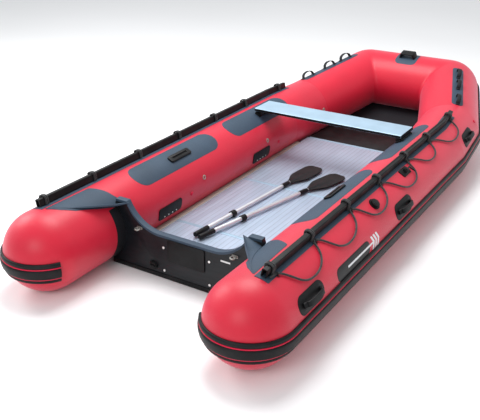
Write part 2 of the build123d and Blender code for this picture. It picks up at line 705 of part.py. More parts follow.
# ---------------------------------------------------------------- floor
FLOOR_BOTTOM = FLOOR_TOP - FLOOR_THICK
PANEL_ENDS = [station - JOINER_WEB for station in FLOOR_STARTS[1:]] + [FLOOR_END]
CELL = 2 * FLOOR_HALF / FLOOR_CELLS
for name, start, end in zip(("aft", "middle", "fore"), FLOOR_STARTS, PANEL_ENDS):
    with BuildPart() as panel:
        with BuildSketch(cross_plane(end - MIDSHIP)):
            with Locations((0, FLOOR_TOP - FLOOR_THICK / 2)):
                Rectangle(2 * FLOOR_HALF, FLOOR_THICK)
                with GridLocations(CELL, 0, FLOOR_CELLS, 1):
                    Rectangle(CELL - FLOOR_WALL, FLOOR_THICK - 2 * FLOOR_WALL, mode=Mode.SUBTRACT)
        extrude(amount=end - start)
    save(panel.part, f"{name}_floor_panel")

with BuildPart() as floor_joiners:
    for end in PANEL_ENDS:
        with BuildSketch(long_plane(-JOINER_HALF)):
            with Locations((end - MIDSHIP, FLOOR_TOP)):
                Rectangle(JOINER_WEB, FLOOR_THICK, align=(Align.MIN, Align.MAX))
            with Locations((end - MIDSHIP + JOINER_WEB / 2, FLOOR_TOP)):
                Rectangle(JOINER_WIDTH, JOINER_WALL, align=(Align.CENTER, Align.MIN))
        extrude(amount=2 * JOINER_HALF)
save(floor_joiners.part, "floor_joiners")

with BuildPart() as stringer:
    with BuildSketch(cross_plane(STRINGER_END - MIDSHIP)):
        for level, edge in ((FLOOR_TOP, Align.MIN), (FLOOR_BOTTOM, Align.MAX)):
            with Locations((FLOOR_HALF - STRINGER[2], level)):
                Rectangle(STRINGER[0], STRINGER[1], align=(Align.MIN, edge))
        with Locations((FLOOR_HALF, FLOOR_TOP - FLOOR_THICK / 2)):
            Rectangle(STRINGER[1], FLOOR_THICK, align=(Align.MIN, Align.CENTER))
    extrude(amount=STRINGER_END - FLOOR_STARTS[0])
save(both_sides([stringer.part]), "floor_stringers")

BOARD_START = FLOOR_END + JOINER_WEB - MIDSHIP
with BuildPart() as bow_board:
    with BuildSketch(Plane.XY.offset(FLOOR_TOP - BOW_BOARD_THICK)):
        with BuildLine():
            Polyline(
                (0, BOARD_START), (BOW_BOARD_HALF[0], BOARD_START), (BOW_BOARD_HALF[1], CHAIN[2].Y),
                (BOW_BOARD_HALF[2], BOW_BOARD_END - MIDSHIP), (0, BOW_BOARD_END - MIDSHIP), close=True,
            )
        make_face()
        mirror(about=Plane.YZ)
    extrude(amount=BOW_BOARD_THICK)
save(bow_board.part, "bow_board")

# ---------------------------------------------------------------- wear patches and seat
WEAR_CORNER = WEAR_PAD[0] / 2 - 1
wear_pads = [
    fitted_pad(SIDE, (start + end) / 2, WEAR_ANGLE, end - start, *WEAR_PAD, WEAR_CORNER)
    for start, end in zip(WEAR_STARTS, WEAR_ENDS)
]
save(both_sides(wear_pads), "wear_patches")

HOLDER_LIFT = 2 * GLUE + WEAR_PAD[1]
holders = []
for station in (AFT_HOLDER_STATION, SEAT_STATION):
    seat = SIDE.tangent(station, HOLDER_ANGLE, HOLDER_LIFT)
    with BuildPart() as holder:
        with BuildSketch(seat):
            RectangleRounded(HOLDER[0], HOLDER[1], HOLDER_CORNER)
        extrude(amount=HOLDER[2])
        with BuildSketch(seat.offset(HOLDER[2])):
            Rectangle(TONGUE[0] + 2 * TONGUE_CLEAR, HOLDER_SLOT)
        extrude(amount=-HOLDER[2] + HOLDER_FLOOR, mode=Mode.SUBTRACT)
    holders.append(holder.part)
save(both_sides(holders), "seat_holders")

SEAT_Y = SEAT_STATION - MIDSHIP
SEAT_UNDER = SEAT_TOP - SEAT_THICK
HOLDER_TOP = SIDE.tangent(SEAT_STATION, HOLDER_ANGLE, HOLDER_LIFT + HOLDER[2] + GLUE)
with BuildPart() as seat_board:
    with BuildSketch(long_plane(-SEAT_LENGTH / 2)):
        with Locations((SEAT_Y, SEAT_UNDER + SEAT_THICK / 2)):
            RectangleRounded(SEAT_WIDTH, SEAT_THICK, SEAT_EDGE_R)
            with GridLocations(SEAT_CELL, 0, SEAT_CELLS, 1):
                Rectangle(SEAT_CELL - SEAT_WALL, SEAT_THICK - 2 * SEAT_WALL, mode=Mode.SUBTRACT)
    extrude(amount=SEAT_LENGTH)
save(seat_board.part, "seat_board")

SLOPE = tan(radians(-HOLDER_ANGLE))
with BuildPart() as seat_hook:
    with BuildSketch(cross_plane(SEAT_Y + HOOK_LENGTH / 2)):
        with BuildLine():
            foot = [HOLDER_TOP.origin.X + side * HOOK_HALF for side in (-1, 1)]
            levels = [HOLDER_TOP.origin.Z + side * HOOK_HALF * SLOPE for side in (-1, 1)]
            Polyline(
                (foot[0], levels[0]), (foot[1], levels[1]), (foot[1], SEAT_UNDER), (foot[0], SEAT_UNDER),
                close=True,
            )
        make_face()
    extrude(amount=HOOK_LENGTH)
    with BuildSketch(cross_plane(SEAT_Y + TONGUE[0] / 2)):
        with Locations((HOLDER_TOP.origin.X, HOLDER_TOP.origin.Z + CUT_OVER)):
            Rectangle(TONGUE[1], TONGUE[2] + CUT_OVER, align=(Align.CENTER, Align.MAX))
    extrude(amount=TONGUE[0])
with BuildPart() as seat_end:
    with BuildSketch(long_plane(SEAT_LENGTH / 2)):
        with Locations((SEAT_Y, SEAT_UNDER + SEAT_THICK / 2)):
            RectangleRounded(SEAT_WIDTH, SEAT_THICK, SEAT_EDGE_R)
    extrude(amount=SEAT_END_THICK)
save(both_sides([seat_hook.part, seat_end.part]), "seat_hooks")


# ---------------------------------------------------------------- rails and lifelines
def rail_profile():
    """Sketch the rail's trough, open towards the tube."""
    turn = 90 - RAIL_ANGLE
    base = TUBE_R + GLUE + RAIL_PAD[1] + GLUE
    middle = (cos(radians(turn)) * (base + RAIL_HEIGHT / 2), sin(radians(turn)) * (base + RAIL_HEIGHT / 2))
    hollow = base + (RAIL_HEIGHT - RAIL_WALL) / 2
    with Locations(Location(middle, turn - 90)):
        RectangleRounded(RAIL_WIDTH, RAIL_HEIGHT, RAIL_CORNER)
    with Locations(Location((cos(radians(turn)) * hollow, sin(radians(turn)) * hollow), turn - 90)):
        Rectangle(RAIL_WIDTH - 2 * RAIL_WALL, RAIL_HEIGHT - RAIL_WALL, mode=Mode.SUBTRACT)


def rail_pad_profile():
    """Sketch the cloth pad that the rail is glued to."""
    half = degrees(RAIL_PAD[0] / 2 / TUBE_R)
    ring_sector(TUBE_R + GLUE, TUBE_R + GLUE + RAIL_PAD[1], 90 - RAIL_ANGLE - half, 90 - RAIL_ANGLE + half)


def round_the_shoulder(profile, start, end):
    """Extrusion of a profile from a station on the side to one past the shoulder."""
    with BuildPart() as stretch:
        with BuildPart(mode=Mode.PRIVATE) as aft:
            with BuildSketch(SIDE.section(start)):
                profile()
            extrude(amount=-(SIDE.length - start + FULL_REACH))
            split(bisect_by=SHOULDER_MITRE, keep=Keep.BOTTOM)
        with BuildPart(mode=Mode.PRIVATE) as fore:
            with BuildSketch(SHOULDER.section(end - SHOULDER_STATION)):
                profile()
            extrude(amount=end - SHOULDER_STATION + FULL_REACH)
            split(bisect_by=SHOULDER_MITRE, keep=Keep.TOP)
        add(aft.part)
        add(fore.part)
    return stretch.part


starboard_rail = round_the_shoulder(rail_profile, RAIL_START, RAIL_END)
save(starboard_rail, "starboard_rail")
save(to_port(starboard_rail), "port_rail")
rail_pad = round_the_shoulder(rail_pad_profile, RAIL_START - RAIL_PAD_MORE, RAIL_END + RAIL_PAD_MORE)
save(both_sides([rail_pad]), "rail_pads")


def on_lifeline(station, angle, lift):
    """Plane tangent to the tube at a station, on the side or past the shoulder."""
    if station <= SHOULDER_STATION:
        return SIDE.tangent(station, angle, lift)
    share = (station - SHOULDER_STATION) / (CHEEK[1] - SHOULDER_STATION)
    return SHOULDER.tangent(share * SHOULDER.length, angle, lift)


CLIP_FOOT = GLUE + RAIL_PAD[1] + GLUE
clips = []
for station in TIE_STATIONS:
    base = on_lifeline(station + CLIP_AHEAD, CLIP_ANGLE, 0)
    with BuildPart() as clip:
        across = Plane(base.origin - base.x_dir * CLIP_LENGTH / 2, x_dir=-base.y_dir, z_dir=-base.x_dir)
        with BuildSketch(across):
            with Locations((0, ROPE_LIFT)):
                Circle(CLIP_R + CLIP_WALL)
            with Locations((CLIP_R, CLIP_FOOT)):
                Rectangle(CLIP_TAB, CLIP_WALL, align=(Align.MIN, Align.MIN))
            with Locations((CLIP_R, CLIP_FOOT)):
                Rectangle(CLIP_WALL, ROPE_LIFT - CLIP_FOOT, align=(Align.MIN, Align.MIN))
            with Locations((0, ROPE_LIFT)):
                Circle(CLIP_R, mode=Mode.SUBTRACT)
                Rectangle(2 * CLIP_R, 2 * CLIP_R, align=(Align.CENTER, Align.MAX), mode=Mode.SUBTRACT)
            with Locations((-CLIP_R - CLIP_WALL, 0)):
                Rectangle(2 * CLIP_WALL, ROPE_LIFT, align=(Align.MIN, Align.MIN), mode=Mode.SUBTRACT)
            with Locations((0, CLIP_FOOT)):
                Rectangle(4 * CLIP_R, 4 * CLIP_R, align=(Align.CENTER, Align.MAX), mode=Mode.SUBTRACT)
        extrude(amount=-CLIP_LENGTH)
    clips.append(clip.part)
save(both_sides(clips), "line_clips")

rope_points = [on_lifeline(station, angle, ROPE_LIFT).origin for station, angle in ROPE_ROUTE]
rope_radii = []
for before, corner, after in zip(rope_points, rope_points[1:], rope_points[2:]):
    turn = (corner - before).get_angle(after - corner)
    shorter = min((corner - before).length, (after - corner).length)
    rope_radii.append(min(ROPE_BEND_LIMIT, 0.45 * shorter / tan(radians(turn / 2))))
print("lifeline radii", [round(radius) for radius in rope_radii])
with BuildPart() as starboard_grab_line:
    with BuildLine() as rope_path:
        FilletPolyline(*rope_points, radius=rope_radii)
    with BuildSketch(Plane(rope_points[0], z_dir=rope_points[1] - rope_points[0])):
        Circle(ROPE_R)
    sweep(path=rope_path.wires()[0])
rope_length = rope_path.wires()[0].length
print("lifeline length", round(rope_length), "volume share",
      round(starboard_grab_line.part.volume / (pi * ROPE_R ** 2 * rope_length), 4))
save(starboard_grab_line.part, "starboard_grab_line")
save(to_port(starboard_grab_line.part), "port_grab_line")


# ---------------------------------------------------------------- handles, loops and bow guide
def bridge(leg, centre, angle, lift, size, bar):
    """Straight-legged bridge along a leg: size is length, width and height, bar its thickness."""
    length, width, height = size
    foot = leg.tangent(centre, angle, lift)
    side = Plane(foot.origin + foot.y_dir * width / 2, x_dir=foot.x_dir, z_dir=-foot.y_dir)
    slant = height * BRIDGE_SLANT
    with BuildPart() as arch:
        with BuildSketch(side):
            for half, top, grow, mode in (
                (length / 2, height, 0, Mode.ADD),
                (length / 2 - bar * BRIDGE_LEG, height - bar, -1, Mode.SUBTRACT),
            ):
                with BuildLine() as outline:
                    Polyline(
                        (-half, grow), (-half + slant, top), (half - slant, top), (half, grow), close=True
                    )
                make_face(outline.edges(), mode=mode)
        extrude(amount=width)
    return arch.part


GRIP_SIZE = HANDLE_GRIP[:3]
handle_spots = [(SIDE, station, HANDLE_ANGLE) for station in HANDLE_STATIONS]
handle_spots.append((SHOULDER, BOW_HANDLE_ALONG, BOW_HANDLE_ANGLE))
handles = []
for leg, centre, angle in handle_spots:
    with BuildPart() as handle:
        add(fitted_pad(leg, centre, angle, *HANDLE_PAD, HANDLE_PAD[1] / 3))
        add(bridge(leg, centre, angle, GLUE + HANDLE_PAD[2] / 2, GRIP_SIZE, HANDLE_GRIP[3]))
    handles.append(handle.part)
save(both_sides(handles), "carry_handles")

bow_pad = fitted_pad(CHEEK_LEG, BOW_PATCH_ALONG, BOW_PATCH_ANGLE, *BOW_PATCH, BOW_PATCH[1] / 3)
guide_pad = fitted_pad(FRONT, FRONT.length / 2, GUIDE_PAD_ANGLE, *GUIDE_PAD, GUIDE_PAD[0] / 4)
with BuildPart() as bow_patches:
    add(both_sides([bow_pad]))
    add(guide_pad)
save(bow_patches.part, "bow_patches")

loops = [
    bridge(CHEEK_LEG, along, BOW_PATCH_ANGLE, 2 * GLUE + BOW_PATCH[2] + LOOP_SAG, BOW_LOOP[:3], BOW_LOOP[3])
    for along in BOW_LOOPS_ALONG
]
save(both_sides(loops), "bow_loops")
guide = bridge(FRONT, FRONT.length / 2, GUIDE_ANGLE, 2 * GLUE + GUIDE_PAD[2], GUIDE, GUIDE_WALL)
save(guide, "bow_line_guide")


# ---------------------------------------------------------------- oarlocks and valves
def disc(plane, radius, height, bore=0.0):
    """Cylinder standing on a plane, with a hole through it where bore isn't 0."""
    with BuildPart() as cylinder:
        with BuildSketch(plane):
            Circle(radius)
            if bore:
                Circle(bore, mode=Mode.SUBTRACT)
        extrude(amount=height)
    return cylinder.part


LOCK_BASE = SIDE.tangent(OARLOCK_STATION, OARLOCK_ANGLE, GLUE)
LOCK_SEAT = LOCK_BASE.offset(OARLOCK_PAD[2] + LOCK_SADDLE)
with BuildPart() as oarlock_base:
    add(fitted_pad(SIDE, OARLOCK_STATION, OARLOCK_ANGLE, *OARLOCK_PAD, OARLOCK_PAD[1] / 4))
    add(disc(LOCK_BASE.offset(OARLOCK_PAD[2] / 2), LOCK_HUB_R, OARLOCK_PAD[2] / 2 + LOCK_SADDLE))
    add(disc(LOCK_SEAT, LOCK_POST_R, LOCK_HUB_HEIGHT + 2 * GLUE))
    add(disc(LOCK_SEAT.offset(LOCK_HUB_HEIGHT + 2 * GLUE), LOCK_KNOB[0], LOCK_KNOB[1]))
save(both_sides([oarlock_base.part]), "oarlock_bases")

LOCK_PLANE = LOCK_SEAT.offset(GLUE)
PIN_START = LOCK_PLANE.from_local_coords(Vector(LOCK_ARM, 0, LOCK_HUB_HEIGHT / 2))
PIN_ALONG = LOCK_PLANE.x_dir.rotate(Axis((0, 0, 0), LOCK_PLANE.z_dir), LOCK_PIN_TURN)
with BuildPart() as starboard_oarlock:
    with BuildSketch(LOCK_PLANE):
        Circle(LOCK_HUB_R)
        with Locations((LOCK_ARM / 2, 0)):
            Rectangle(LOCK_ARM + LOCK_ARM_WIDTH, LOCK_ARM_WIDTH)
        Circle(LOCK_POST_R + RUNNING_FIT, mode=Mode.SUBTRACT)
    extrude(amount=LOCK_HUB_HEIGHT)
    add(disc(Plane(PIN_START, z_dir=PIN_ALONG), LOCK_PIN[1], LOCK_PIN[0]))
save(starboard_oarlock.part, "starboard_oarlock")
save(to_port(starboard_oarlock.part), "port_oarlock")

VALVE_PLANE = SIDE.tangent(VALVE_STATION, VALVE_ANGLE, GLUE)
VALVE_INSIDE = VALVE_PLANE.offset(-VALVE_DEPTH)
with BuildPart() as valve_body:
    add(disc(VALVE_INSIDE, VALVE_BORE, VALVE_DEPTH + VALVE_FLANGE, VALVE_BORE - VALVE_WALL))
    add(disc(VALVE_PLANE, VALVE_R, VALVE_FLANGE, VALVE_BORE - VALVE_WALL))
    with BuildSketch(VALVE_INSIDE):
        Rectangle(2 * VALVE_BORE - VALVE_WALL, VALVE_WALL * 2)
        Rectangle(VALVE_WALL * 2, 2 * VALVE_BORE - VALVE_WALL)
        Circle(2 * STEM_R)
    extrude(amount=VALVE_WALL)
    with BuildSketch(VALVE_INSIDE):
        Circle(STEM_R + RUNNING_FIT)
    extrude(amount=VALVE_WALL, mode=Mode.SUBTRACT)
save(both_sides([valve_body.part]), "valve_bodies")

with BuildPart() as starboard_valve_stem:
    add(disc(VALVE_INSIDE.offset(-GLUE - STEM_SEAL[1]), STEM_R, STEM_LENGTH))
    add(disc(VALVE_INSIDE.offset(-GLUE - STEM_SEAL[1]), STEM_SEAL[0], STEM_SEAL[1]))
    add(disc(VALVE_INSIDE.offset(STEM_LENGTH - GLUE - STEM_SEAL[1]), STEM_BUTTON[0], STEM_BUTTON[1]))
save(starboard_valve_stem.part, "starboard_valve_stem")
save(to_port(starboard_valve_stem.part), "port_valve_stem")

CAP_PLANE = VALVE_PLANE.offset(VALVE_FLANGE + GLUE)
with BuildPart() as starboard_valve_cap:
    add(disc(CAP_PLANE, VALVE_CAP[0], VALVE_CAP[1]))
    add(disc(CAP_PLANE, VALVE_CAP[0] - VALVE_CAP[2], VALVE_CAP[1] - VALVE_CAP[2]), mode=Mode.SUBTRACT)
    with BuildSketch(CAP_PLANE.offset(VALVE_CAP[1])):
        Rectangle(2 * VALVE_CAP[0] - 2 * VALVE_CAP[2], VALVE_TAB[0])
    extrude(amount=VALVE_TAB[1])
save(starboard_valve_cap.part, "starboard_valve_cap")
save(to_port(starboard_valve_cap.part), "port_valve_cap")

# ---------------------------------------------------------------- small fittings on the tubes
ring_spots = [(SIDE, station) for station in RING_STATIONS]
ring_spots.append((SHOULDER, SHOULDER.length - RING_SHORT))
rings = [
    disc(leg.tangent(along, RING_ANGLE, GLUE + RING_SEAT), RING[0], RING[2], RING[1])
    for leg, along in ring_spots
]
save(both_sides(rings), "chamber_rings")

plates = [
    fitted_pad(SIDE, station, CLEAT_ANGLE, *CLEAT_PLATE, CLEAT_PLATE[1] / 4)
    for station in CLEAT_STATIONS
]
save(both_sides(plates), "cleat_plates")

SCREW_LIFT = 2 * GLUE + CLEAT_PLATE[2]
screws = []
for station in CLEAT_STATIONS:
    for step in range(SCREW_COUNT):
        along = station + (step - (SCREW_COUNT - 1) / 2) * SCREW_PITCH
        screws.append(disc(SIDE.tangent(along, SCREW_ANGLE, SCREW_LIFT), SCREW[0], SCREW[1]))
for height in BOLT_HEIGHTS:
    bolt_seat = Plane((BOLT_X, AFT_FACE, height), x_dir=(1, 0, 0), z_dir=(0, -1, 0))
    screws.append(disc(bolt_seat, *BOLT))
save(both_sides(screws), "small_screws")

bumps = [disc(SIDE.tangent(station, BUMP_ANGLE, GLUE), BUMP[0], BUMP[1]) for station in BUMP_STATIONS]
bumps.append(disc(SHOULDER.tangent(SHOULDER.length - BUMP_SHORT, BOW_BUMP_ANGLE, GLUE), BUMP[0], BUMP[1]))
save(both_sides(bumps), "line_pads")


# ---------------------------------------------------------------- oars
def oar_plane(ends, distance):
    """Plane square to an oar at a distance from its grip's end, normal towards the blade."""
    (grip_x, grip_station), (neck_x, neck_station) = ends
    run = Vector(neck_x - grip_x, neck_station - grip_station, 0).normalized()
    along = (run - Vector(0, 0, OAR_SLOPE)).normalized()
    collar = Vector(grip_x, grip_station - MIDSHIP, FLOOR_TOP + COLLAR_R + OAR_CLEAR) + run * COLLAR_AT
    return Plane(collar + along * (distance - COLLAR_AT), x_dir=along.cross(Vector(0, 0, 1)), z_dir=along)


for name, ends in (("port", PORT_OAR), ("starboard", STARBOARD_OAR)):
    neck = (Vector(*ends[1]) - Vector(*ends[0])).length
    with BuildPart() as lower_shaft:
        lower_end = oar_plane(ends, neck - LOWER_SHAFT)
        add(disc(lower_end, SHAFT_R, LOWER_SHAFT + NECK_DEPTH, SHAFT_R - SHAFT_WALL))
    save(lower_shaft.part, f"{name}_oar_lower_shaft")
    with BuildPart() as upper_shaft:
        add(disc(oar_plane(ends, GRIP_SEAT), UPPER_SHAFT_R, COLLAR_AT + COLLAR_LENGTH / 2 - GRIP_SEAT,
                 SHAFT_R + RUNNING_FIT))
    save(upper_shaft.part, f"{name}_oar_upper_shaft")
    with BuildPart() as grip:
        add(disc(oar_plane(ends, 0), GRIP_R, GRIP_LENGTH, UPPER_SHAFT_R))
        add(disc(oar_plane(ends, 0), GRIP_R, GRIP_SEAT))
        add(disc(oar_plane(ends, COLLAR_AT - COLLAR_LENGTH / 2), COLLAR_R, COLLAR_LENGTH, UPPER_SHAFT_R))
    save(grip.part, f"{name}_oar_grip")
    root = oar_plane(ends, neck)
    flat = Plane(root.origin, x_dir=root.z_dir, z_dir=root.z_dir.cross(-root.x_dir))
    with BuildPart() as blade:
        with BuildSketch(flat.offset(-BLADE[2] / 2)):
            with BuildLine():
                Polyline(
                    (0, -GRIP_R), (BLADE[0] / 4, -BLADE[1] / 2),
                    (BLADE[0], -BLADE[1] / 2 + BLADE_TAPER), (BLADE[0], BLADE[1] / 2 - BLADE_TAPER),
                    (BLADE[0] / 4, BLADE[1] / 2), (0, GRIP_R), close=True,
                )
            make_face()
        extrude(amount=BLADE[2])
        with BuildSketch(flat.offset(-RIB_HEIGHT / 2)):
            Rectangle(BLADE[0] * RIB_SHARE, RIB_WIDTH, align=(Align.MIN, Align.CENTER))
        extrude(amount=RIB_HEIGHT)
        add(disc(oar_plane(ends, neck - NECK_LENGTH), GRIP_R, NECK_LENGTH + NECK_DEPTH))
        with BuildSketch(oar_plane(ends, neck - NECK_LENGTH)):
            Circle(SHAFT_R)
        extrude(amount=NECK_LENGTH + NECK_DEPTH, mode=Mode.SUBTRACT)
    save(blade.part, f"{name}_oar_blade")
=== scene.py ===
"""Inflatable dinghy: finished skins, rubber, cord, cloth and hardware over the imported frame.

Metres, in the frame's own axes: +X is starboard, +Y is the bow, +Z is up, and the origin is on the
ground under the middle of the boat. A station is a distance forward of the centre of the stern domes.
An angle round a tube is in degrees from its top, positive outboard.
"""

import json
import logging
import math
from dataclasses import dataclass
from enum import Enum
from typing import Iterable, Sequence

import bmesh
import bpy
from mathutils import Matrix, Vector

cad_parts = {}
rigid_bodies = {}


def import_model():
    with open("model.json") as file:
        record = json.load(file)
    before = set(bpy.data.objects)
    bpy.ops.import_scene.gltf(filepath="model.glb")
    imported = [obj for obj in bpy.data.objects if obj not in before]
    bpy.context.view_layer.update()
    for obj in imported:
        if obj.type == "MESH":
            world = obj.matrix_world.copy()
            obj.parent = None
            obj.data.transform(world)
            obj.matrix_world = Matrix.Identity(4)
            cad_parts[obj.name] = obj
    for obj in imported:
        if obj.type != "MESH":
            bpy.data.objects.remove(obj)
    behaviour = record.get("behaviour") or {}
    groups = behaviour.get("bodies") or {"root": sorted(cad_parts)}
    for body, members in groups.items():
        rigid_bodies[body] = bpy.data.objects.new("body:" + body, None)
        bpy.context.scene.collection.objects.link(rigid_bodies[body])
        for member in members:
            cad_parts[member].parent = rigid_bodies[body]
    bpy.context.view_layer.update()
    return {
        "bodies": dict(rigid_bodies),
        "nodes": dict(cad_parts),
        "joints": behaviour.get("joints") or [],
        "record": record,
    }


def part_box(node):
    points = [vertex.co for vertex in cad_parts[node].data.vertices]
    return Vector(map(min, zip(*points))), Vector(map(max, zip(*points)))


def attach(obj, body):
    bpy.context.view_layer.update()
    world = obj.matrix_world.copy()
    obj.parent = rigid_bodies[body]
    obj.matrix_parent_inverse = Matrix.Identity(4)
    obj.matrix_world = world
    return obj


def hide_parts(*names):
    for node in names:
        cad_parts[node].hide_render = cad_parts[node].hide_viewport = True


LOG = logging.getLogger("dinghy")
MIDSHIP = 2.010
TUBE_R = 0.250
HALF_SPACING = 0.710  # from the middle of the boat to a side tube's axis


# ------------------------------------------------------------------ lines of the hull
@dataclass(frozen=True)
class Leg:
    """One straight stretch of the tubes' axis."""

    start: Vector
    end: Vector

    @property
    def length(self) -> float:
        """Length of the stretch."""
        return (self.end - self.start).length

    @property
    def along(self) -> Vector:
        """Unit vector towards the bow."""
        return (self.end - self.start).normalized()

    @property
    def outboard(self) -> Vector:
        """Level unit vector away from the boat."""
        return self.along.cross(Vector((0, 0, 1))).normalized()

    @property
    def up(self) -> Vector:
        """Unit vector square to the other two."""
        return self.outboard.cross(self.along)

    def out(self, angle: float) -> Vector:
        """Unit vector out of the tube at an angle in degrees."""
        turn = math.radians(angle)
        return self.outboard * math.sin(turn) + self.up * math.cos(turn)

    def point(self, distance: float, angle: float, lift: float = 0.0) -> Vector:
        """Point over the tube's surface.

        Args:
            distance: metres from the leg's start.
            angle: degrees round the tube.
            lift: metres out of the surface.

        Returns:
            The point, in the frame's axes.
        """
        return self.start + self.along * distance + self.out(angle) * (TUBE_R + lift)

    def seat(self, distance: float, angle: float, lift: float = 0.0) -> Matrix:
        """Placing matrix whose x runs to the bow and z out of the tube."""
        z = self.out(angle)
        x = self.along
        y = z.cross(x)
        placed = Matrix((x, y, z)).transposed().to_4x4()
        placed.translation = self.point(distance, angle, lift)
        return placed


def at(x: float, station: float, rise: float) -> Vector:
    """Point given by x, station and height above the side tubes' axis."""
    return Vector((x, station - MIDSHIP, rise + TUBE_R))


CHAIN = [
    at(HALF_SPACING, 0, 0), at(HALF_SPACING, 2.700, 0), at(0.660, 3.230, 0.013),
    at(0.400, 4.020, 0.165), at(-0.400, 4.020, 0.165),
]
SIDE, SHOULDER, CHEEK, FRONT = (Leg(a, b) for a, b in zip(CHAIN, CHAIN[1:]))


@dataclass(frozen=True)
class TubeRun:
    """Rings of points round the starboard half of the tubes, from the stern dome to the bow's middle."""

    soft: float = 0.035              # radius of the fold inside a bend
    spacing: float = 0.045           # between rings on a straight
    dome_rings: int = 22

    def frames(self) -> list[Vector]:
        """Outward directions at the start of each leg and at the bow, level on the sides."""
        axis = CHEEK.along.cross(FRONT.along).normalized()
        return [
            SIDE.outboard, SHOULDER.outboard, CHEEK.outboard,
            CHEEK.along.cross(axis).normalized(), FRONT.along.cross(axis).normalized(),
        ]

    def ring(self, centre: Vector, along: Vector, outward: Vector, turn: float, radius: float) -> Vector:
        """Point on a ring, turn degrees from its top."""
        up = outward.cross(along).normalized()
        angle = math.radians(turn)
        return centre + (outward * math.sin(angle) + up * math.cos(angle)) * radius

    def mitred(self, corner: Vector, before: Vector, after: Vector, offset: Vector) -> Vector:
        """Where a line beside the leg before a corner meets the corner's mitre plane."""
        normal = (before + after).normalized()
        return corner + offset - before * (offset.dot(normal) / before.dot(normal))

    def line(self, turn: float, radius: float, wrap: float = 90.0, dome: bool = True) -> list[Vector]:
        """Points along the run at one angle round it.

        Args:
            turn: degrees from the top, positive outboard.
            radius: from the tube's axis.
            wrap: degrees that a line goes round the stern dome, where it isn't closed at its pole.
            dome: True closes the dome at its pole, False wraps it level round the stern.

        Returns:
            The points, stern first, the last on the middle plane.
        """
        outs = self.frames()
        angle = math.radians(turn)
        points: list[Vector] = []
        rings = self.dome_rings
        for k in range(rings):
            if dome:
                polar = math.radians(90 * (1 - k / rings))
                offset = (outs[0] * math.sin(angle) + Vector((0, 0, 1)) * math.cos(angle)) * math.cos(polar)
                points.append(SIDE.start + (offset - SIDE.along * math.sin(polar)) * radius)
            else:
                swing = math.radians(wrap * (1 - k / rings))
                level = outs[0] * math.cos(swing) - SIDE.along * math.sin(swing)
                aim = level * math.sin(angle) + Vector((0, 0, 1)) * math.cos(angle)
                points.append(SIDE.start + aim * radius)
        legs = [SIDE, SHOULDER, CHEEK, FRONT]
        ends = [(outs[0], outs[0]), (outs[1], outs[1]), (outs[2], outs[3]), (outs[4], outs[4])]
        starts = [self.ring(SIDE.start, SIDE.along, outs[0], turn, radius)]
        knots: list[Vector] = []
        for k, corner in enumerate(CHAIN[1:4]):
            off_a = self.ring(Vector(), legs[k].along, ends[k][1], turn, radius)
            off_b = self.ring(Vector(), legs[k + 1].along, ends[k + 1][0], turn, radius)
            meet_a = self.mitred(corner, legs[k].along, legs[k + 1].along, off_a)
            meet_b = self.mitred(corner, legs[k + 1].along, legs[k].along * 1.0, off_b)
            knots.append((meet_a + meet_b) / 2)
        last = self.ring(Vector((0, FRONT.start.y, FRONT.start.z)), FRONT.along, outs[4], turn, radius)
        nodes = starts + knots + [last]
        counts = [round(leg.length / self.spacing) for leg in legs[:3]] + [round(0.4 / self.spacing)]
        fans = [4, 5, 14]
        previous_trim = 0.0
        for k, count in enumerate(counts):
            a, b = nodes[k], nodes[k + 1]
            way = (b - a).normalized()
            trim = 0.0
            if k < 3:
                after = (nodes[k + 2] - b).normalized()
                bend = way.angle(after)
                side = (b - CHAIN[k + 1]).dot(way - after)
                ball = math.sqrt(max(side, 0.0) ** 2 / max((way - after).length, 1e-6) ** 2 + self.soft ** 2)
                trim = min(ball * math.tan(bend / 2), (b - a).length * 0.45)
            first = a + way * previous_trim
            final = b - way * trim
            for step in range(count + 1):
                points.append(first.lerp(final, step / count))
            if k < 3:
                exit_point = b + after * trim
                fan = fans[k]
                for step in range(1, fan):
                    share = step / fan
                    points.append(self.rounded(final, b, exit_point, share, bend))
            previous_trim = trim
        return points

    @staticmethod
    def rounded(first: Vector, corner: Vector, last: Vector, share: float, bend: float) -> Vector:
        """Point on the arc that rounds a corner, as a rational curve of its three points."""
        weight = math.cos(bend / 2)
        w0, w1, w2 = (1 - share) ** 2, 2 * share * (1 - share) * weight, share ** 2
        return (first * w0 + corner * w1 + last * w2) / (w0 + w1 + w2)


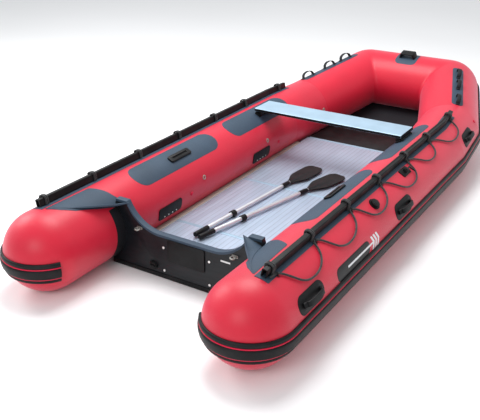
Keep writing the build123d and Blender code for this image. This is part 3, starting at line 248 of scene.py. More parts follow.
# ------------------------------------------------------------------ workbench
class Bench:
    """Mesh-making moves that the sub-assemblies share."""

    @staticmethod
    def free_hands() -> None:
        """Leaves edit mode and deselects everything."""
        if bpy.context.object and bpy.context.object.mode != "OBJECT":
            bpy.ops.object.mode_set(mode="OBJECT")
        bpy.ops.object.select_all(action="DESELECT")

    @classmethod
    def take(cls, piece: bpy.types.Object) -> None:
        """Makes a piece the only one selected, and active."""
        cls.free_hands()
        piece.select_set(True)
        bpy.context.view_layer.objects.active = piece

    @classmethod
    def skin(
        cls, name: str, rows: Sequence[Sequence[Vector]], closed: bool, uv_scale: float = 1.0
    ) -> bpy.types.Object:
        """Quad skin through rows of points.

        Args:
            name: the piece's name.
            rows: rows of equally many points.
            closed: True joins the last column to the first.
            uv_scale: turns per metre along the rows in the UV map.

        Returns:
            The new piece, with u along the rows in metres and v across them.
        """
        mesh = bpy.data.meshes.new(name)
        piece = bpy.data.objects.new(name, mesh)
        bpy.context.scene.collection.objects.link(piece)
        width = len(rows[0])
        built = bmesh.new()
        grid = [[built.verts.new(p) for p in row] for row in rows]
        layer = built.loops.layers.uv.new("UVMap")
        travel = [0.0]
        for before, after in zip(rows, rows[1:]):
            travel.append(travel[-1] + max((a - b).length for a, b in zip(after, before)) * uv_scale)
        span = width if closed else width - 1
        for r in range(len(rows) - 1):
            for c in range(span):
                d = (c + 1) % width
                corners = [grid[r][c], grid[r][d], grid[r + 1][d], grid[r + 1][c]]
                try:
                    face = built.faces.new(corners)
                except ValueError:
                    continue
                for loop, (u, v) in zip(face.loops, ((r, c), (r, c + 1), (r + 1, c + 1), (r + 1, c))):
                    loop[layer].uv = (travel[u], v / span)
        built.to_mesh(mesh)
        built.free()
        return piece

    @classmethod
    def tidy(cls, piece: bpy.types.Object, merge: float = 1e-5, angle: float = 40.0) -> bpy.types.Object:
        """Merges doubles, turns faces outwards and shades smooth below an angle in degrees."""
        cls.take(piece)
        bpy.ops.object.mode_set(mode="EDIT")
        bpy.ops.mesh.select_all(action="SELECT")
        bpy.ops.mesh.remove_doubles(threshold=merge)
        bpy.ops.mesh.normals_make_consistent(inside=False)
        bpy.ops.object.mode_set(mode="OBJECT")
        bpy.ops.object.shade_smooth_by_angle(angle=math.radians(angle))
        return piece

    @classmethod
    def apply(cls, piece: bpy.types.Object, kind: str, **settings: object) -> bpy.types.Object:
        """Adds a modifier with the settings given and applies it."""
        cls.take(piece)
        modifier = piece.modifiers.new(kind.title(), kind)
        for key, value in settings.items():
            setattr(modifier, key, value)
        bpy.ops.object.modifier_apply(modifier=modifier.name)
        return piece

    @classmethod
    def both_sides(cls, piece: bpy.types.Object, merge: float = 1e-4) -> bpy.types.Object:
        """Adds the piece's mirror image across the middle plane."""
        return cls.apply(
            piece, "MIRROR", use_axis=(True, False, False), use_mirror_merge=True, merge_threshold=merge
        )

    @classmethod
    def place(cls, piece: bpy.types.Object, seat: Matrix) -> bpy.types.Object:
        """Moves the mesh to its seat and leaves the object at the origin."""
        piece.data.transform(seat @ piece.matrix_world)
        piece.matrix_world = Matrix.Identity(4)
        piece.data.update()
        return piece

    @classmethod
    def join(cls, name: str, pieces: Sequence[bpy.types.Object]) -> bpy.types.Object:
        """Joins pieces into one under a new name."""
        cls.free_hands()
        for piece in pieces:
            piece.select_set(True)
        bpy.context.view_layer.objects.active = pieces[0]
        if len(pieces) > 1:
            bpy.ops.object.join()
        pieces[0].name = name
        pieces[0].data.name = name
        return pieces[0]

    @classmethod
    def rename(cls, piece: bpy.types.Object, name: str) -> bpy.types.Object:
        """Names a piece and its mesh."""
        piece.name = name
        piece.data.name = name
        return piece


class Shapes:
    """Small parts made from a primitive and edit-mode moves, then set on their seat."""

    @staticmethod
    def block(size: Sequence[float], edge: float, segments: int = 3) -> bpy.types.Object:
        """Box on the ground plane with every edge rounded.

        Args:
            size: length, width and height.
            edge: radius of the rounding.
            segments: steps of the rounding.

        Returns:
            The box, its base centred on the origin.
        """
        Bench.free_hands()
        bpy.ops.mesh.primitive_cube_add(size=1, location=(0, 0, 0))
        piece = bpy.context.object
        bpy.ops.object.mode_set(mode="EDIT")
        bpy.ops.mesh.select_all(action="SELECT")
        bpy.ops.transform.resize(value=size)
        bpy.ops.transform.translate(value=(0, 0, size[2] / 2))
        bpy.ops.mesh.bevel(offset=edge, segments=segments, affect="EDGES")
        bpy.ops.object.mode_set(mode="OBJECT")
        return piece


def wrapped_pad(
    leg: Leg, centre: float, angle: float, length: float, width: float, thickness: float, corner: float,
    lift: float = 0.0004, crown: float = 0.0,
) -> bpy.types.Object:
    """Pad that follows a tube, rounded in plan, with a softened rim.

    Args:
        leg: the tube it lies on.
        centre: its middle along the leg.
        angle: its middle round the tube.
        length: along the tube.
        width: round the tube.
        thickness: of the pad.
        corner: radius of its corners in plan.
        lift: film of glue under it.
        crown: extra height in the pad's middle.

    Returns:
        The pad, closed, in place.
    """
    across = 18
    lengthwise = max(16, round(length / 0.025))
    rows: list[list[Vector]] = []

    def inset(u: float, v: float) -> tuple[float, float]:
        """Moves a point of the square plan on to the rounded outline."""
        x, y = u * length / 2, v * width / 2
        cx, cy = length / 2 - corner, width / 2 - corner
        over_x, over_y = abs(x) - cx, abs(y) - cy
        if over_x > 0 and over_y > 0:
            reach = max(over_x, over_y)
            size = math.hypot(over_x, over_y)
            x = math.copysign(cx + over_x / size * reach, x)
            y = math.copysign(cy + over_y / size * reach, y)
        return x, y

    def stops(count: int) -> list[float]:
        """Steps across the plan, closer together by its rim."""
        even = ((2 * k / count) - 1 for k in range(count + 1))
        return [math.copysign(1 - (1 - abs(t)) ** 1.15, t) for t in even]

    for u in stops(lengthwise):
        row = []
        for v in stops(across):
            x, y = inset(u, v)
            rim = 1 - max(abs(u), abs(v)) ** 8
            height = thickness * (0.35 + 0.65 * rim) + crown * (1 - u * u) * (1 - v * v)
            row.append(leg.point(centre + x, angle + math.degrees(y / TUBE_R), lift + height))
        rows.append(row)
    piece = Bench.skin("pad", rows, closed=False)
    Bench.take(piece)
    bpy.ops.object.mode_set(mode="EDIT")
    bpy.ops.mesh.select_all(action="SELECT")
    bpy.ops.mesh.normals_make_consistent(inside=False)
    bpy.ops.object.mode_set(mode="OBJECT")
    middle = piece.data.polygons[len(piece.data.polygons) // 2]
    if middle.normal.dot(leg.out(angle)) < 0:
        piece.data.flip_normals()
    return Bench.apply(piece, "SOLIDIFY", thickness=thickness * 0.9, offset=-1)


# ------------------------------------------------------------------ finishes
class Coordinates(Enum):
    """Where a finish takes its pattern from."""

    OBJECT = "Object"
    UV = "UV"


class Recipe:
    """Node tree of one material, built socket by socket."""

    def __init__(self, name: str, colour: Sequence[float], roughness: float) -> None:
        """Starts a material with a Principled shader of one roughness."""
        self.material = bpy.data.materials.new(name)
        self.material.use_nodes = True
        self.tree = self.material.node_tree
        self.shader = self.tree.nodes["Principled BSDF"]
        self.shader.inputs["Base Color"].default_value = (*colour, 1)
        self.shader.inputs["Roughness"].default_value = roughness
        self.colour = colour

    def set(self, **sockets: float) -> "Recipe":
        """Sets the shader's own sockets, named with underscores for spaces."""
        for name, value in sockets.items():
            self.shader.inputs[name.replace("_", " ")].default_value = value
        return self

    def node(self, kind: str, **settings: object) -> bpy.types.Node:
        """Adds a node with the settings given."""
        made = self.tree.nodes.new(kind)
        for key, value in settings.items():
            setattr(made, key, value)
        return made

    def link(self, out: bpy.types.NodeSocket, into: bpy.types.NodeSocket) -> None:
        """Links two sockets."""
        self.tree.links.new(out, into)

    def place(self, source: Coordinates, scale: Sequence[float] = (1, 1, 1)) -> bpy.types.NodeSocket:
        """Coordinates stretched by a scale."""
        coordinates = self.node("ShaderNodeTexCoord")
        mapping = self.node("ShaderNodeMapping")
        mapping.inputs["Scale"].default_value = scale
        self.link(coordinates.outputs[source.value], mapping.inputs["Vector"])
        return mapping.outputs["Vector"]

    def noise(
        self, where: bpy.types.NodeSocket, scale: float, detail: float = 4, rough: float = 0.55
    ) -> bpy.types.NodeSocket:
        """Noise between 0 and 1."""
        made = self.node("ShaderNodeTexNoise")
        made.inputs["Scale"].default_value = scale
        made.inputs["Detail"].default_value = detail
        made.inputs["Roughness"].default_value = rough
        self.link(where, made.inputs["Vector"])
        return made.outputs["Fac"]

    def wave(
        self, where: bpy.types.NodeSocket, scale: float, direction: str, distortion: float = 0.0
    ) -> bpy.types.NodeSocket:
        """Bands between 0 and 1 along one axis."""
        made = self.node(
            "ShaderNodeTexWave", wave_type="BANDS", bands_direction=direction, wave_profile="SIN"
        )
        made.inputs["Scale"].default_value = scale
        made.inputs["Distortion"].default_value = distortion
        self.link(where, made.inputs["Vector"])
        return made.outputs["Fac"]

    def math(self, operation: str, a: bpy.types.NodeSocket, b: object) -> bpy.types.NodeSocket:
        """Arithmetic on a socket and a socket or number."""
        made = self.node("ShaderNodeMath", operation=operation)
        self.link(a, made.inputs[0])
        if isinstance(b, (int, float)):
            made.inputs[1].default_value = b
        else:
            self.link(b, made.inputs[1])
        return made.outputs[0]

    def ramp(
        self, fac: bpy.types.NodeSocket, low: float, high: float, a: Sequence[float], b: Sequence[float]
    ) -> bpy.types.NodeSocket:
        """Colours a factor from a at low to b at high."""
        made = self.node("ShaderNodeValToRGB")
        made.color_ramp.elements[0].position = low
        made.color_ramp.elements[0].color = (*a, 1)
        made.color_ramp.elements[1].position = high
        made.color_ramp.elements[1].color = (*b, 1)
        self.link(fac, made.inputs["Fac"])
        return made.outputs["Color"]

    def tint(self, colour: bpy.types.NodeSocket) -> None:
        """Takes the base colour from a socket."""
        self.link(colour, self.shader.inputs["Base Color"])

    def roughen(self, fac: bpy.types.NodeSocket, low: float, high: float) -> None:
        """Varies the roughness with a factor."""
        made = self.node("ShaderNodeMapRange")
        made.inputs["To Min"].default_value = low
        made.inputs["To Max"].default_value = high
        self.link(fac, made.inputs["Value"])
        self.link(made.outputs["Result"], self.shader.inputs["Roughness"])

    def bump(self, height: bpy.types.NodeSocket, distance: float, strength: float = 1.0) -> None:
        """Adds relief, on top of any that is there."""
        made = self.node("ShaderNodeBump")
        made.inputs["Strength"].default_value = strength
        made.inputs["Distance"].default_value = distance
        self.link(height, made.inputs["Height"])
        normal = self.shader.inputs["Normal"]
        if normal.is_linked:
            self.link(normal.links[0].from_socket, made.inputs["Normal"])
        self.link(made.outputs["Normal"], normal)


@dataclass(frozen=True)
class CoatedCloth:
    """Coated fabric: fine weave under a satin skin, with soft mottling and scuffs."""

    name: str
    colour: tuple[float, float, float]
    roughness: float = 0.42
    coat: float = 0.12
    variation: float = 0.10
    weave: float = 0.00006
    handling: float = 0.0006
    sheen: float = 0.0

    def material(self) -> bpy.types.Material:
        """The finish as a material."""
        made = Recipe(self.name, self.colour, self.roughness)
        made.set(Coat_Weight=self.coat, Coat_Roughness=0.32, Specular_IOR_Level=0.36, Sheen_Weight=self.sheen)
        made.shader.inputs["Sheen Tint"].default_value = (1.0, 0.42, 0.55, 1)
        where = made.place(Coordinates.OBJECT)
        cloud = made.noise(where, 3.2, 5)
        darker = tuple(c * (1 - self.variation) for c in self.colour)
        lighter = tuple(min(1.0, c * (1 + self.variation)) for c in self.colour)
        made.tint(made.ramp(cloud, 0.3, 0.7, darker, lighter))
        scuffs = made.noise(where, 38, 6, 0.7)
        made.roughen(scuffs, self.roughness - 0.06, self.roughness + 0.08)
        made.bump(made.noise(where, 2.1, 3), self.handling)
        threads = made.math("ADD", made.wave(where, 420, "X"), made.wave(where, 420, "Y"))
        made.bump(made.math("ADD", threads, made.wave(where, 420, "Z")), self.weave, 0.5)
        return made.material


@dataclass(frozen=True)
class MouldedRubber:
    """Rubber or nylon out of a mould: fine grain, dusty wear and a soft sheen."""

    name: str
    colour: tuple[float, float, float]
    roughness: float = 0.5
    grain: float = 0.00012
    dust: float = 0.2

    def material(self) -> bpy.types.Material:
        """The finish as a material."""
        made = Recipe(self.name, self.colour, self.roughness)
        made.set(Specular_IOR_Level=0.2)
        where = made.place(Coordinates.OBJECT)
        wear = made.noise(where, 9, 8, 0.65)
        pale = tuple(c + self.dust * 0.03 for c in self.colour)
        made.tint(made.ramp(wear, 0.42, 0.75, self.colour, pale))
        made.roughen(made.noise(where, 26, 5), self.roughness - 0.08, self.roughness + 0.1)
        made.bump(made.noise(where, 900, 2), self.grain, 0.6)
        return made.material


@dataclass(frozen=True)
class DrawnAlloy:
    """Aluminium or steel with drawing lines along one axis."""

    name: str
    colour: tuple[float, float, float]
    roughness: float = 0.3
    lines: tuple[float, float, float] = (1, 0.03, 1)
    metallic: float = 1.0
    relief: float = 0.00004

    def material(self) -> bpy.types.Material:
        """The finish as a material."""
        made = Recipe(self.name, self.colour, self.roughness)
        made.set(Metallic=self.metallic)
        drawn = made.noise(made.place(Coordinates.OBJECT, self.lines), 420, 4, 0.7)
        where = made.place(Coordinates.OBJECT)
        cloud = made.noise(where, 7, 5)
        darker = tuple(c * 0.86 for c in self.colour)
        made.tint(made.ramp(cloud, 0.3, 0.7, darker, self.colour))
        made.roughen(drawn, self.roughness - 0.08, self.roughness + 0.12)
        made.bump(drawn, self.relief, 0.7)
        return made.material


@dataclass(frozen=True)
class RibbedFloor:
    """Anodised floor plank with fine ribs along the boat, painted shade in the bottoms of the rib grooves,
    and scuffs.
    """

    name: str
    colour: tuple[float, float, float]
    pitch: float = 0.036

    def material(self) -> bpy.types.Material:
        """The finish as a material."""
        made = Recipe(self.name, self.colour, 0.33)
        made.set(Metallic=0.55)
        where = made.place(Coordinates.OBJECT)
        ribs = made.wave(where, 1 / self.pitch / 3.18, "X")
        # painted shade: thin lines at the bottoms of the rib grooves take 70 % of the plank's colour
        darker = tuple(c * 0.70 for c in self.colour)
        groove = made.ramp(ribs, 0.005, 0.06, darker, self.colour)
        cloud = made.noise(made.place(Coordinates.OBJECT, (1, 0.12, 1)), 16, 7, 0.65)
        mix = made.node("ShaderNodeMix", data_type="RGBA", blend_type="MULTIPLY")
        mix.inputs["Factor"].default_value = 0.5
        made.link(groove, mix.inputs[6])
        made.link(made.ramp(cloud, 0.25, 0.7, (0.72, 0.74, 0.78), (1, 1, 1)), mix.inputs[7])
        made.tint(mix.outputs[2])
        made.roughen(cloud, 0.26, 0.45)
        made.bump(made.ramp(ribs, 0.0, 0.08, (0, 0, 0), (1, 1, 1)), 0.0008, 0.8)
        return made.material


@dataclass(frozen=True)
class BraidedCord:
    """Braided cord: crossing strands that follow the piece's own map, painted paler on the strand crowns as
    highlight and left dark between them as shade.
    """

    name: str
    colour: tuple[float, float, float]
    strands: float = 8.0
    lay: float = 95.0

    def material(self) -> bpy.types.Material:
        """The finish as a material."""
        made = Recipe(self.name, self.colour, 0.62)
        right = made.wave(made.place(Coordinates.UV, (self.lay, self.strands, 1)), 0.3183, "DIAGONAL")
        left = made.wave(made.place(Coordinates.UV, (self.lay, -self.strands, 1)), 0.3183, "DIAGONAL")
        strands = made.math("MAXIMUM", right, left)
        # painted highlight and shade: the raised strands are coloured paler than the cord, and the gaps
        # between them stay at the cord's own colour
        pale = tuple(c * 2.6 + 0.01 for c in self.colour)
        made.tint(made.ramp(strands, 0.35, 1.0, self.colour, pale))
        made.bump(strands, 0.0012)
        made.bump(made.noise(made.place(Coordinates.OBJECT), 1600, 2), 0.0002, 0.5)
        made.set(Sheen_Weight=0.15)
        return made.material


@dataclass(frozen=True)
class PaintedPly:
    """Painted marine plywood: a satin film with faint grain telegraphing through."""

    name: str
    colour: tuple[float, float, float]
    roughness: float = 0.36

    def material(self) -> bpy.types.Material:
        """The finish as a material."""
        made = Recipe(self.name, self.colour, self.roughness)
        made.set(Coat_Weight=0.05, Coat_Roughness=0.25, Specular_IOR_Level=0.3)
        grain = made.noise(made.place(Coordinates.OBJECT, (0.12, 1, 1)), 60, 6, 0.6)
        paler = tuple(c * 1.6 + 0.004 for c in self.colour)
        made.tint(made.ramp(grain, 0.35, 0.75, self.colour, paler))
        grain = made.noise(made.place(Coordinates.OBJECT), 12, 6)
        made.roughen(grain, self.roughness - 0.08, self.roughness + 0.12)
        made.bump(grain, 0.0002, 0.6)
        return made.material


class Finishes:
    """Every finish of the boat, made once."""

    def __init__(self) -> None:
        """Makes the materials."""
        specs = {
            "red_fabric": CoatedCloth("red_fabric", (0.56, 0.0042, 0.026), 0.43, 0.12, 0.06, sheen=0.3),
            "grey_fabric": CoatedCloth("grey_fabric", (0.032, 0.056, 0.088), 0.58, 0.0, 0.14, 0.00012),
            "dark_fabric": CoatedCloth("dark_fabric", (0.005, 0.006, 0.009), 0.62, 0.0, 0.14, 0.00012),
            "black_rubber": MouldedRubber("black_rubber", (0.004, 0.0042, 0.005), 0.5),
            "strake_rubber": MouldedRubber("strake_rubber", (0.0045, 0.0042, 0.005), 0.48, 0.00008),
            "black_plastic": MouldedRubber("black_plastic", (0.0035, 0.0036, 0.0042), 0.42, 0.00008, 0.3),
            "ply": PaintedPly("ply", (0.0035, 0.0045, 0.0065)),
            "floor_alloy": RibbedFloor("floor_alloy", (0.50, 0.59, 0.72)),
            "seat_alloy": DrawnAlloy("seat_alloy", (0.36, 0.50, 0.62), 0.42, (0.03, 1, 1), 0.35),
            "stringer_alloy": DrawnAlloy("stringer_alloy", (0.42, 0.39, 0.34), 0.45, (1, 0.03, 1), 0.4),
            "shaft_alloy": DrawnAlloy("shaft_alloy", (0.74, 0.77, 0.80), 0.40, metallic=0.7),
            "steel": DrawnAlloy("steel", (0.62, 0.62, 0.62), 0.34, (1, 1, 1)),
            "screw_steel": DrawnAlloy("screw_steel", (0.90, 0.90, 0.88), 0.4, (1, 1, 1), 0.5),
            "eye_steel": DrawnAlloy("eye_steel", (0.30, 0.29, 0.27), 0.5, (1, 1, 1), 0.8),
            "rope": BraidedCord("rope", (0.004, 0.004, 0.005)),
            "red_plastic": MouldedRubber("red_plastic", (0.62, 0.012, 0.05), 0.38, 0.00006, 0.2),
            "white_print": MouldedRubber("white_print", (0.75, 0.75, 0.76), 0.45, 0.00004, 0.0),
            "black_print": MouldedRubber("black_print", (0.004, 0.004, 0.005), 0.36, 0.00004, 0.1),
        }
        self.made = {name: spec.material() for name, spec in specs.items()}

    slots = {
        "screw_steel": "steel", "eye_steel": "steel", "dark_fabric": "grey_fabric",
        "stringer_alloy": "seat_alloy", "white_print": "red_plastic",
        "black_print": "black_plastic",
    }

    def dress(self, piece: bpy.types.Object, name: str) -> bpy.types.Object:
        """Gives a piece one finish."""
        piece.data.materials.clear()
        piece.data.materials.append(self.made[name])
        return piece


# ------------------------------------------------------------------ shared moves over the frame
class Yard:
    """What every sub-assembly needs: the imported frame, the finishes and the bodies."""

    def __init__(self, frame: dict, finishes: Finishes) -> None:
        """Notes which body each node rides on."""
        self.frame = frame
        self.finishes = finishes
        self.bodies: dict[str, str] = {}
        for body, entry in frame["record"]["behaviour"]["bodies"].items():
            nodes = entry["nodes"] if isinstance(entry, dict) else entry
            for node in nodes:
                self.bodies[node] = body

    def finish(
        self, piece: bpy.types.Object, finish: str, body: str = "hull", replaced: Sequence[str] = ()
    ) -> bpy.types.Object:
        """Dresses a piece, puts it on its body and hides the nodes it stands for.

        Args:
            piece: the piece, in place.
            finish: name of its finish.
            body: the body that it rides on.
            replaced: nodes it stands for.

        Returns:
            The same piece.
        """
        self.finishes.dress(piece, finish)
        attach(piece, body)
        if replaced:
            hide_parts(*replaced)
        LOG.info("%s: %s on %s", piece.name, finish, body)
        return piece

    def refine(
        self, node: str, finish: str, name: str, edge: float, segments: int = 2, sharp: float = 32.0
    ) -> bpy.types.Object:
        """Copy of a node with merged corners, rounded edges and smooth curves.

        Args:
            node: the node.
            finish: name of its finish.
            name: the new piece's name.
            edge: width of the rounding, none where it's 0.
            segments: steps of the rounding.
            sharp: angle in degrees above which an edge is rounded.

        Returns:
            The piece, which replaces the node.
        """
        source = bpy.data.objects[node]
        Bench.free_hands()
        piece = bpy.data.objects.new(name, source.data.copy())
        piece.data.name = name
        bpy.context.scene.collection.objects.link(piece)
        Bench.take(piece)
        piece.data.materials.clear()
        bpy.ops.object.mode_set(mode="EDIT")
        bpy.ops.mesh.select_all(action="SELECT")
        bpy.ops.mesh.remove_doubles(threshold=1e-5)
        bpy.ops.mesh.dissolve_limited(angle_limit=math.radians(0.4))
        bpy.ops.object.mode_set(mode="OBJECT")
        if edge:
            Bench.apply(
                piece, "BEVEL", width=edge, segments=segments, limit_method="ANGLE",
                angle_limit=math.radians(sharp), use_clamp_overlap=True,
            )
        Bench.take(piece)
        bpy.ops.object.shade_smooth_by_angle(angle=math.radians(sharp + 4))
        return self.finish(piece, finish, self.bodies[node], (node,))


def on_lifeline(station: float, angle: float, lift: float) -> Vector:
    """Point over the tube at a station, on the side or past the shoulder."""
    if station <= SIDE.length:
        return SIDE.point(station, angle, lift)
    share = (station - SIDE.length) / (CHEEK.start.y + MIDSHIP - SIDE.length)
    return SHOULDER.point(share * SHOULDER.length, angle, lift)


def mirrored(points: Iterable[Vector]) -> list[Vector]:
    """The points' mirror images to port."""
    return [Vector((-p.x, p.y, p.z)) for p in points]


# ------------------------------------------------------------------ lifelines
ROPE_ROUTE = (
    (2885, 19.2), (2850, 19.4), (2836, 27), (2812, 36), (2752, 42.5), (2664, 45),
    (2580, 44), (2510, 38.5), (2456, 30), (2400, 22.5), (2350, 19.4), (2320, 19.2),
    (2304, 27), (2276, 36.5), (2218, 42.5), (2140, 43.5), (2066, 39.5), (2010, 31),
    (1956, 22.5), (1912, 19.4), (1880, 19.2), (1868, 29), (1854, 40), (1808, 49),
    (1718, 52), (1628, 49.5), (1560, 40), (1506, 28), (1455, 19.9), (1410, 19.2),
    (1395, 28.5), (1362, 39), (1296, 47.5), (1200, 50.8), (1108, 46.5), (1058, 36),
    (1022, 25.5), (990, 19.7), (960, 19.2), (944, 28), (906, 38.5), (832, 47.5),
    (738, 51), (648, 47), (598, 37), (564, 26.5), (532, 19.8), (500, 19.2),
    (484, 29), (452, 39.5), (390, 48.5), (300, 51.5), (216, 47.5), (170, 37),
    (136, 26.5), (108, 19.8), (80, 19.2), (48, 18.8),
)


@dataclass
class Lifelines:
    """Swagged grab line along each rail, hitched round the rail at every tie."""

    yard: Yard
    radius: float = 0.006
    lift: float = 0.0105
    length: float = 3.47
    ties: tuple[float, ...] = (0.080, 0.500, 0.960, 1.410, 1.880, 2.320, 2.850)
    hitch: tuple[tuple[float, float], ...] = (
        (0.0240, 0.008), (0.0242, 0.030), (0.0255, 0.0565), (0.0, 0.0615), (-0.0255, 0.0565),
        (-0.0242, 0.030),
        (-0.0240, 0.008),
    )

    def route(self) -> list[Vector]:
        """Control points of the starboard line, from the bow aft."""
        return [on_lifeline(station / 1000, angle, self.lift) for station, angle in ROPE_ROUTE]

    def line(self, name: str, points: Sequence[Vector], bevel: float) -> bpy.types.Object:
        """Curve of one smooth spline with these control points."""
        curve = bpy.data.curves.new(name, "CURVE")
        curve.dimensions = "3D"
        curve.bevel_depth = bevel
        curve.bevel_resolution = 5
        curve.resolution_u = 8
        curve.use_fill_caps = True
        spline = curve.splines.new("NURBS")
        spline.points.add(len(points) - 1)
        for control, place in zip(spline.points, points):
            control.co = (*place, 1)
        spline.order_u = 3
        spline.use_endpoint_u = True
        piece = bpy.data.objects.new(name, curve)
        bpy.context.scene.collection.objects.link(piece)
        return piece

    def hitches(self, side: str, turn: float) -> bpy.types.Object:
        """Two turns of cord round the rail at every tie."""
        turns = []
        for station in self.ties:
            for shift in (-0.0068, 0.0068):
                where = min(station + shift, 2.93)
                leg, along = (SIDE, where) if where <= SIDE.length else (
                    SHOULDER,
                    (where - SIDE.length) / (CHEEK.start.y + MIDSHIP - SIDE.length) * SHOULDER.length)
                seat = leg.seat(along, turn)
                path = [seat @ Vector((0.004 * (k % 2), y, z)) for k, (y, z) in enumerate(self.hitch)]
                if side == "port":
                    path = mirrored(path)
                line = self.line("hitch", path, self.radius * 0.92)
                shown = line.evaluated_get(bpy.context.evaluated_depsgraph_get())
                mesh = bpy.data.meshes.new_from_object(shown)
                solid = bpy.data.objects.new("hitch", mesh)
                bpy.context.scene.collection.objects.link(solid)
                bpy.data.objects.remove(line)
                turns.append(solid)
        joined = Bench.join(f"{side}_grab_line_hitches", turns)
        return self.yard.finish(joined, "rope")

    def build(self) -> None:
        """Builds both lines and their hitches."""
        for side in ("starboard", "port"):
            points = self.route() if side == "starboard" else mirrored(self.route())
            line = self.line(f"{side}_grab_line_cord", points, self.radius)
            self.yard.finish(line, "rope", replaced=(f"{side}_grab_line",))
            hitches = self.hitches(side, 12.2)
            self.length


# ------------------------------------------------------------------ tubes and strake
@dataclass
class BuoyancyTubes:
    """Skins of the air tubes, with the domes at the stern and the rounded bow corners."""

    yard: Yard
    run: TubeRun
    columns: int = 112

    def rows(self) -> list[list[Vector]]:
        """Rings of the starboard half."""
        lines = [self.run.line(360 * k / self.columns, TUBE_R) for k in range(self.columns)]
        return [list(row) for row in zip(*lines)]

    def build(self) -> None:
        """Builds the side skins and the bow skin."""
        rows = self.rows()
        cut = self.run.dome_rings + round(SIDE.length / self.run.spacing) + 3
        side = Bench.tidy(Bench.skin("starboard_side_skin", rows[: cut + 1], closed=True), angle=60)
        port = Bench.tidy(
            Bench.skin("port_side_skin", [mirrored(row) for row in rows[: cut + 1]], closed=True), angle=60
        )
        for piece, name in ((side, "starboard"), (port, "port")):
            self.outwards(piece)
            self.yard.finish(piece, "red_fabric", replaced=(f"{name}_side_tube",))
        bow = Bench.skin("bow_skin", rows[cut:], closed=True)
        bow = Bench.tidy(Bench.both_sides(bow), angle=60)
        self.yard.finish(
            bow, "red_fabric", replaced=("starboard_bow_tube", "port_bow_tube", "bow_front_tube")
        )

    def outwards(self, piece: bpy.types.Object) -> None:
        """Turns a side skin's faces away from its axis."""
        face = max(piece.data.polygons, key=lambda f: f.center.z)
        if face.normal.z < 0:
            piece.data.flip_normals()


@dataclass
class RubbingStrake:
    """Black rubber strake round the boat, three ribs with a red line in each groove."""

    yard: Yard
    run: TubeRun
    middle: float = 98.0
    wrap: float = 153.0
    outline: tuple[tuple[float, float], ...] = (
        (-65, 0.4), (-65.5, 4), (-64.5, 9), (-61, 12.5), (-56, 14), (-51, 14.6), (-46, 14),
        (-41, 12.8), (-39, 11),
        (-38, 8.2), (-30.5, 8.2), (-29.8, 12), (-28.5, 16), (-25, 18.6), (-18, 19.6), (-9, 20),
        (0, 20), (9, 20),
        (18, 19.6), (25, 18.6), (28.5, 16), (29.8, 12), (30.5, 8.2), (38, 8.2), (39, 11),
        (41, 12.8), (46, 14),
        (51, 14.6), (56, 14), (61, 12.5), (64.5, 9), (65.5, 4), (65, 0.4),
    )
    line: tuple[tuple[float, float], ...] = (
        (-3.4, 8.3), (-3.2, 12.6), (-1.8, 13.6), (1.8, 13.6), (3.2, 12.6), (3.4, 8.3),
    )

    def sweep(self, name: str, outline: Sequence[tuple[float, float]], shift: float) -> bpy.types.Object:
        """Sweeps an outline of (distance round the tube, lift) in millimetres along the run."""
        lines = []
        for across, lift in outline:
            turn = self.middle + math.degrees((across + shift) / 1000 / TUBE_R)
            lines.append(self.run.line(turn, TUBE_R + lift / 1000, self.wrap, dome=False))
        rows = [list(row) for row in zip(*lines)]
        middle = sum(rows[0], Vector()) / len(rows[0])
        outward = (middle - (rows[1][0] + rows[1][-1]) / 2).normalized() * 0.004
        cap = [middle.lerp(p, 0.02) + outward for p in rows[0]]
        piece = Bench.skin(name, [cap, *rows], closed=True)
        Bench.both_sides(piece)
        return Bench.tidy(piece, merge=5e-5, angle=44)

    def build(self) -> None:
        """Builds the strake and its two red lines."""
        self.yard.finish(
            self.sweep("rubbing_strake", self.outline, 0), "strake_rubber",
            replaced=("side_strakes", "bow_strake"),
        )
        for shift, name in ((-34, "upper"), (34, "lower")):
            self.yard.finish(self.sweep(f"{name}_strake_line", self.line, shift), "red_plastic")


# ------------------------------------------------------------------ cloth
@dataclass
class Patches:
    """Glued cloth patches and pads on the tubes."""

    yard: Yard
    rail_angle: float = 12.2
    rail_span: tuple[float, float] = (0.012, 2.968)
    rail_width: float = 0.084
    rail_steps: int = 140

    def on_both(
        self, name: str, pads: Sequence[bpy.types.Object], finish: str, replaced: Sequence[str]
    ) -> None:
        """Joins pads, mirrors them to port and dresses them."""
        piece = Bench.join(name, list(pads))
        Bench.both_sides(piece)
        Bench.take(piece)
        bpy.ops.object.shade_smooth_by_angle(angle=math.radians(50))
        self.yard.finish(piece, finish, replaced=replaced)

    def rail_pad(self) -> bpy.types.Object:
        """Cloth strip under a rail, round the shoulder."""
        rows = []
        aft, fore = self.rail_span
        for k in range(self.rail_steps + 1):
            station = aft + (fore - aft) * k / self.rail_steps
            row = []
            for c in range(9):
                angle = self.rail_angle + math.degrees((c / 8 - 0.5) * self.rail_width / TUBE_R)
                row.append(on_lifeline(station, angle, 0.0028 - 0.0012 * abs(c / 4 - 1) ** 6))
            rows.append(row)
        piece = Bench.skin("pad", rows, closed=False)
        if piece.data.polygons[0].normal.z < 0:
            piece.data.flip_normals()
        return Bench.apply(piece, "SOLIDIFY", thickness=0.0024, offset=-1)

    def build(self) -> None:
        """Builds every patch."""
        wear = [
            wrapped_pad(SIDE, (a + b) / 2, -26, b - a, 0.182, 0.0012, 0.088)
            for a, b in ((0.695, 1.625), (1.810, 2.695))
        ]
        self.on_both("tube_wear_patches", wear, "grey_fabric", ("wear_patches",))
        bow = [wrapped_pad(CHEEK, 0.390, 12, 0.700, 0.095, 0.0012, 0.032)]
        self.on_both("bow_loop_patches", bow, "grey_fabric", ("bow_patches",))
        guide = wrapped_pad(FRONT, FRONT.length / 2, -14.5, 0.200, 0.200, 0.0012, 0.05)
        self.yard.finish(Bench.rename(guide, "bow_guide_patch"), "grey_fabric")
        self.on_both("rail_base_pads", [self.rail_pad()], "grey_fabric", ("rail_pads",))


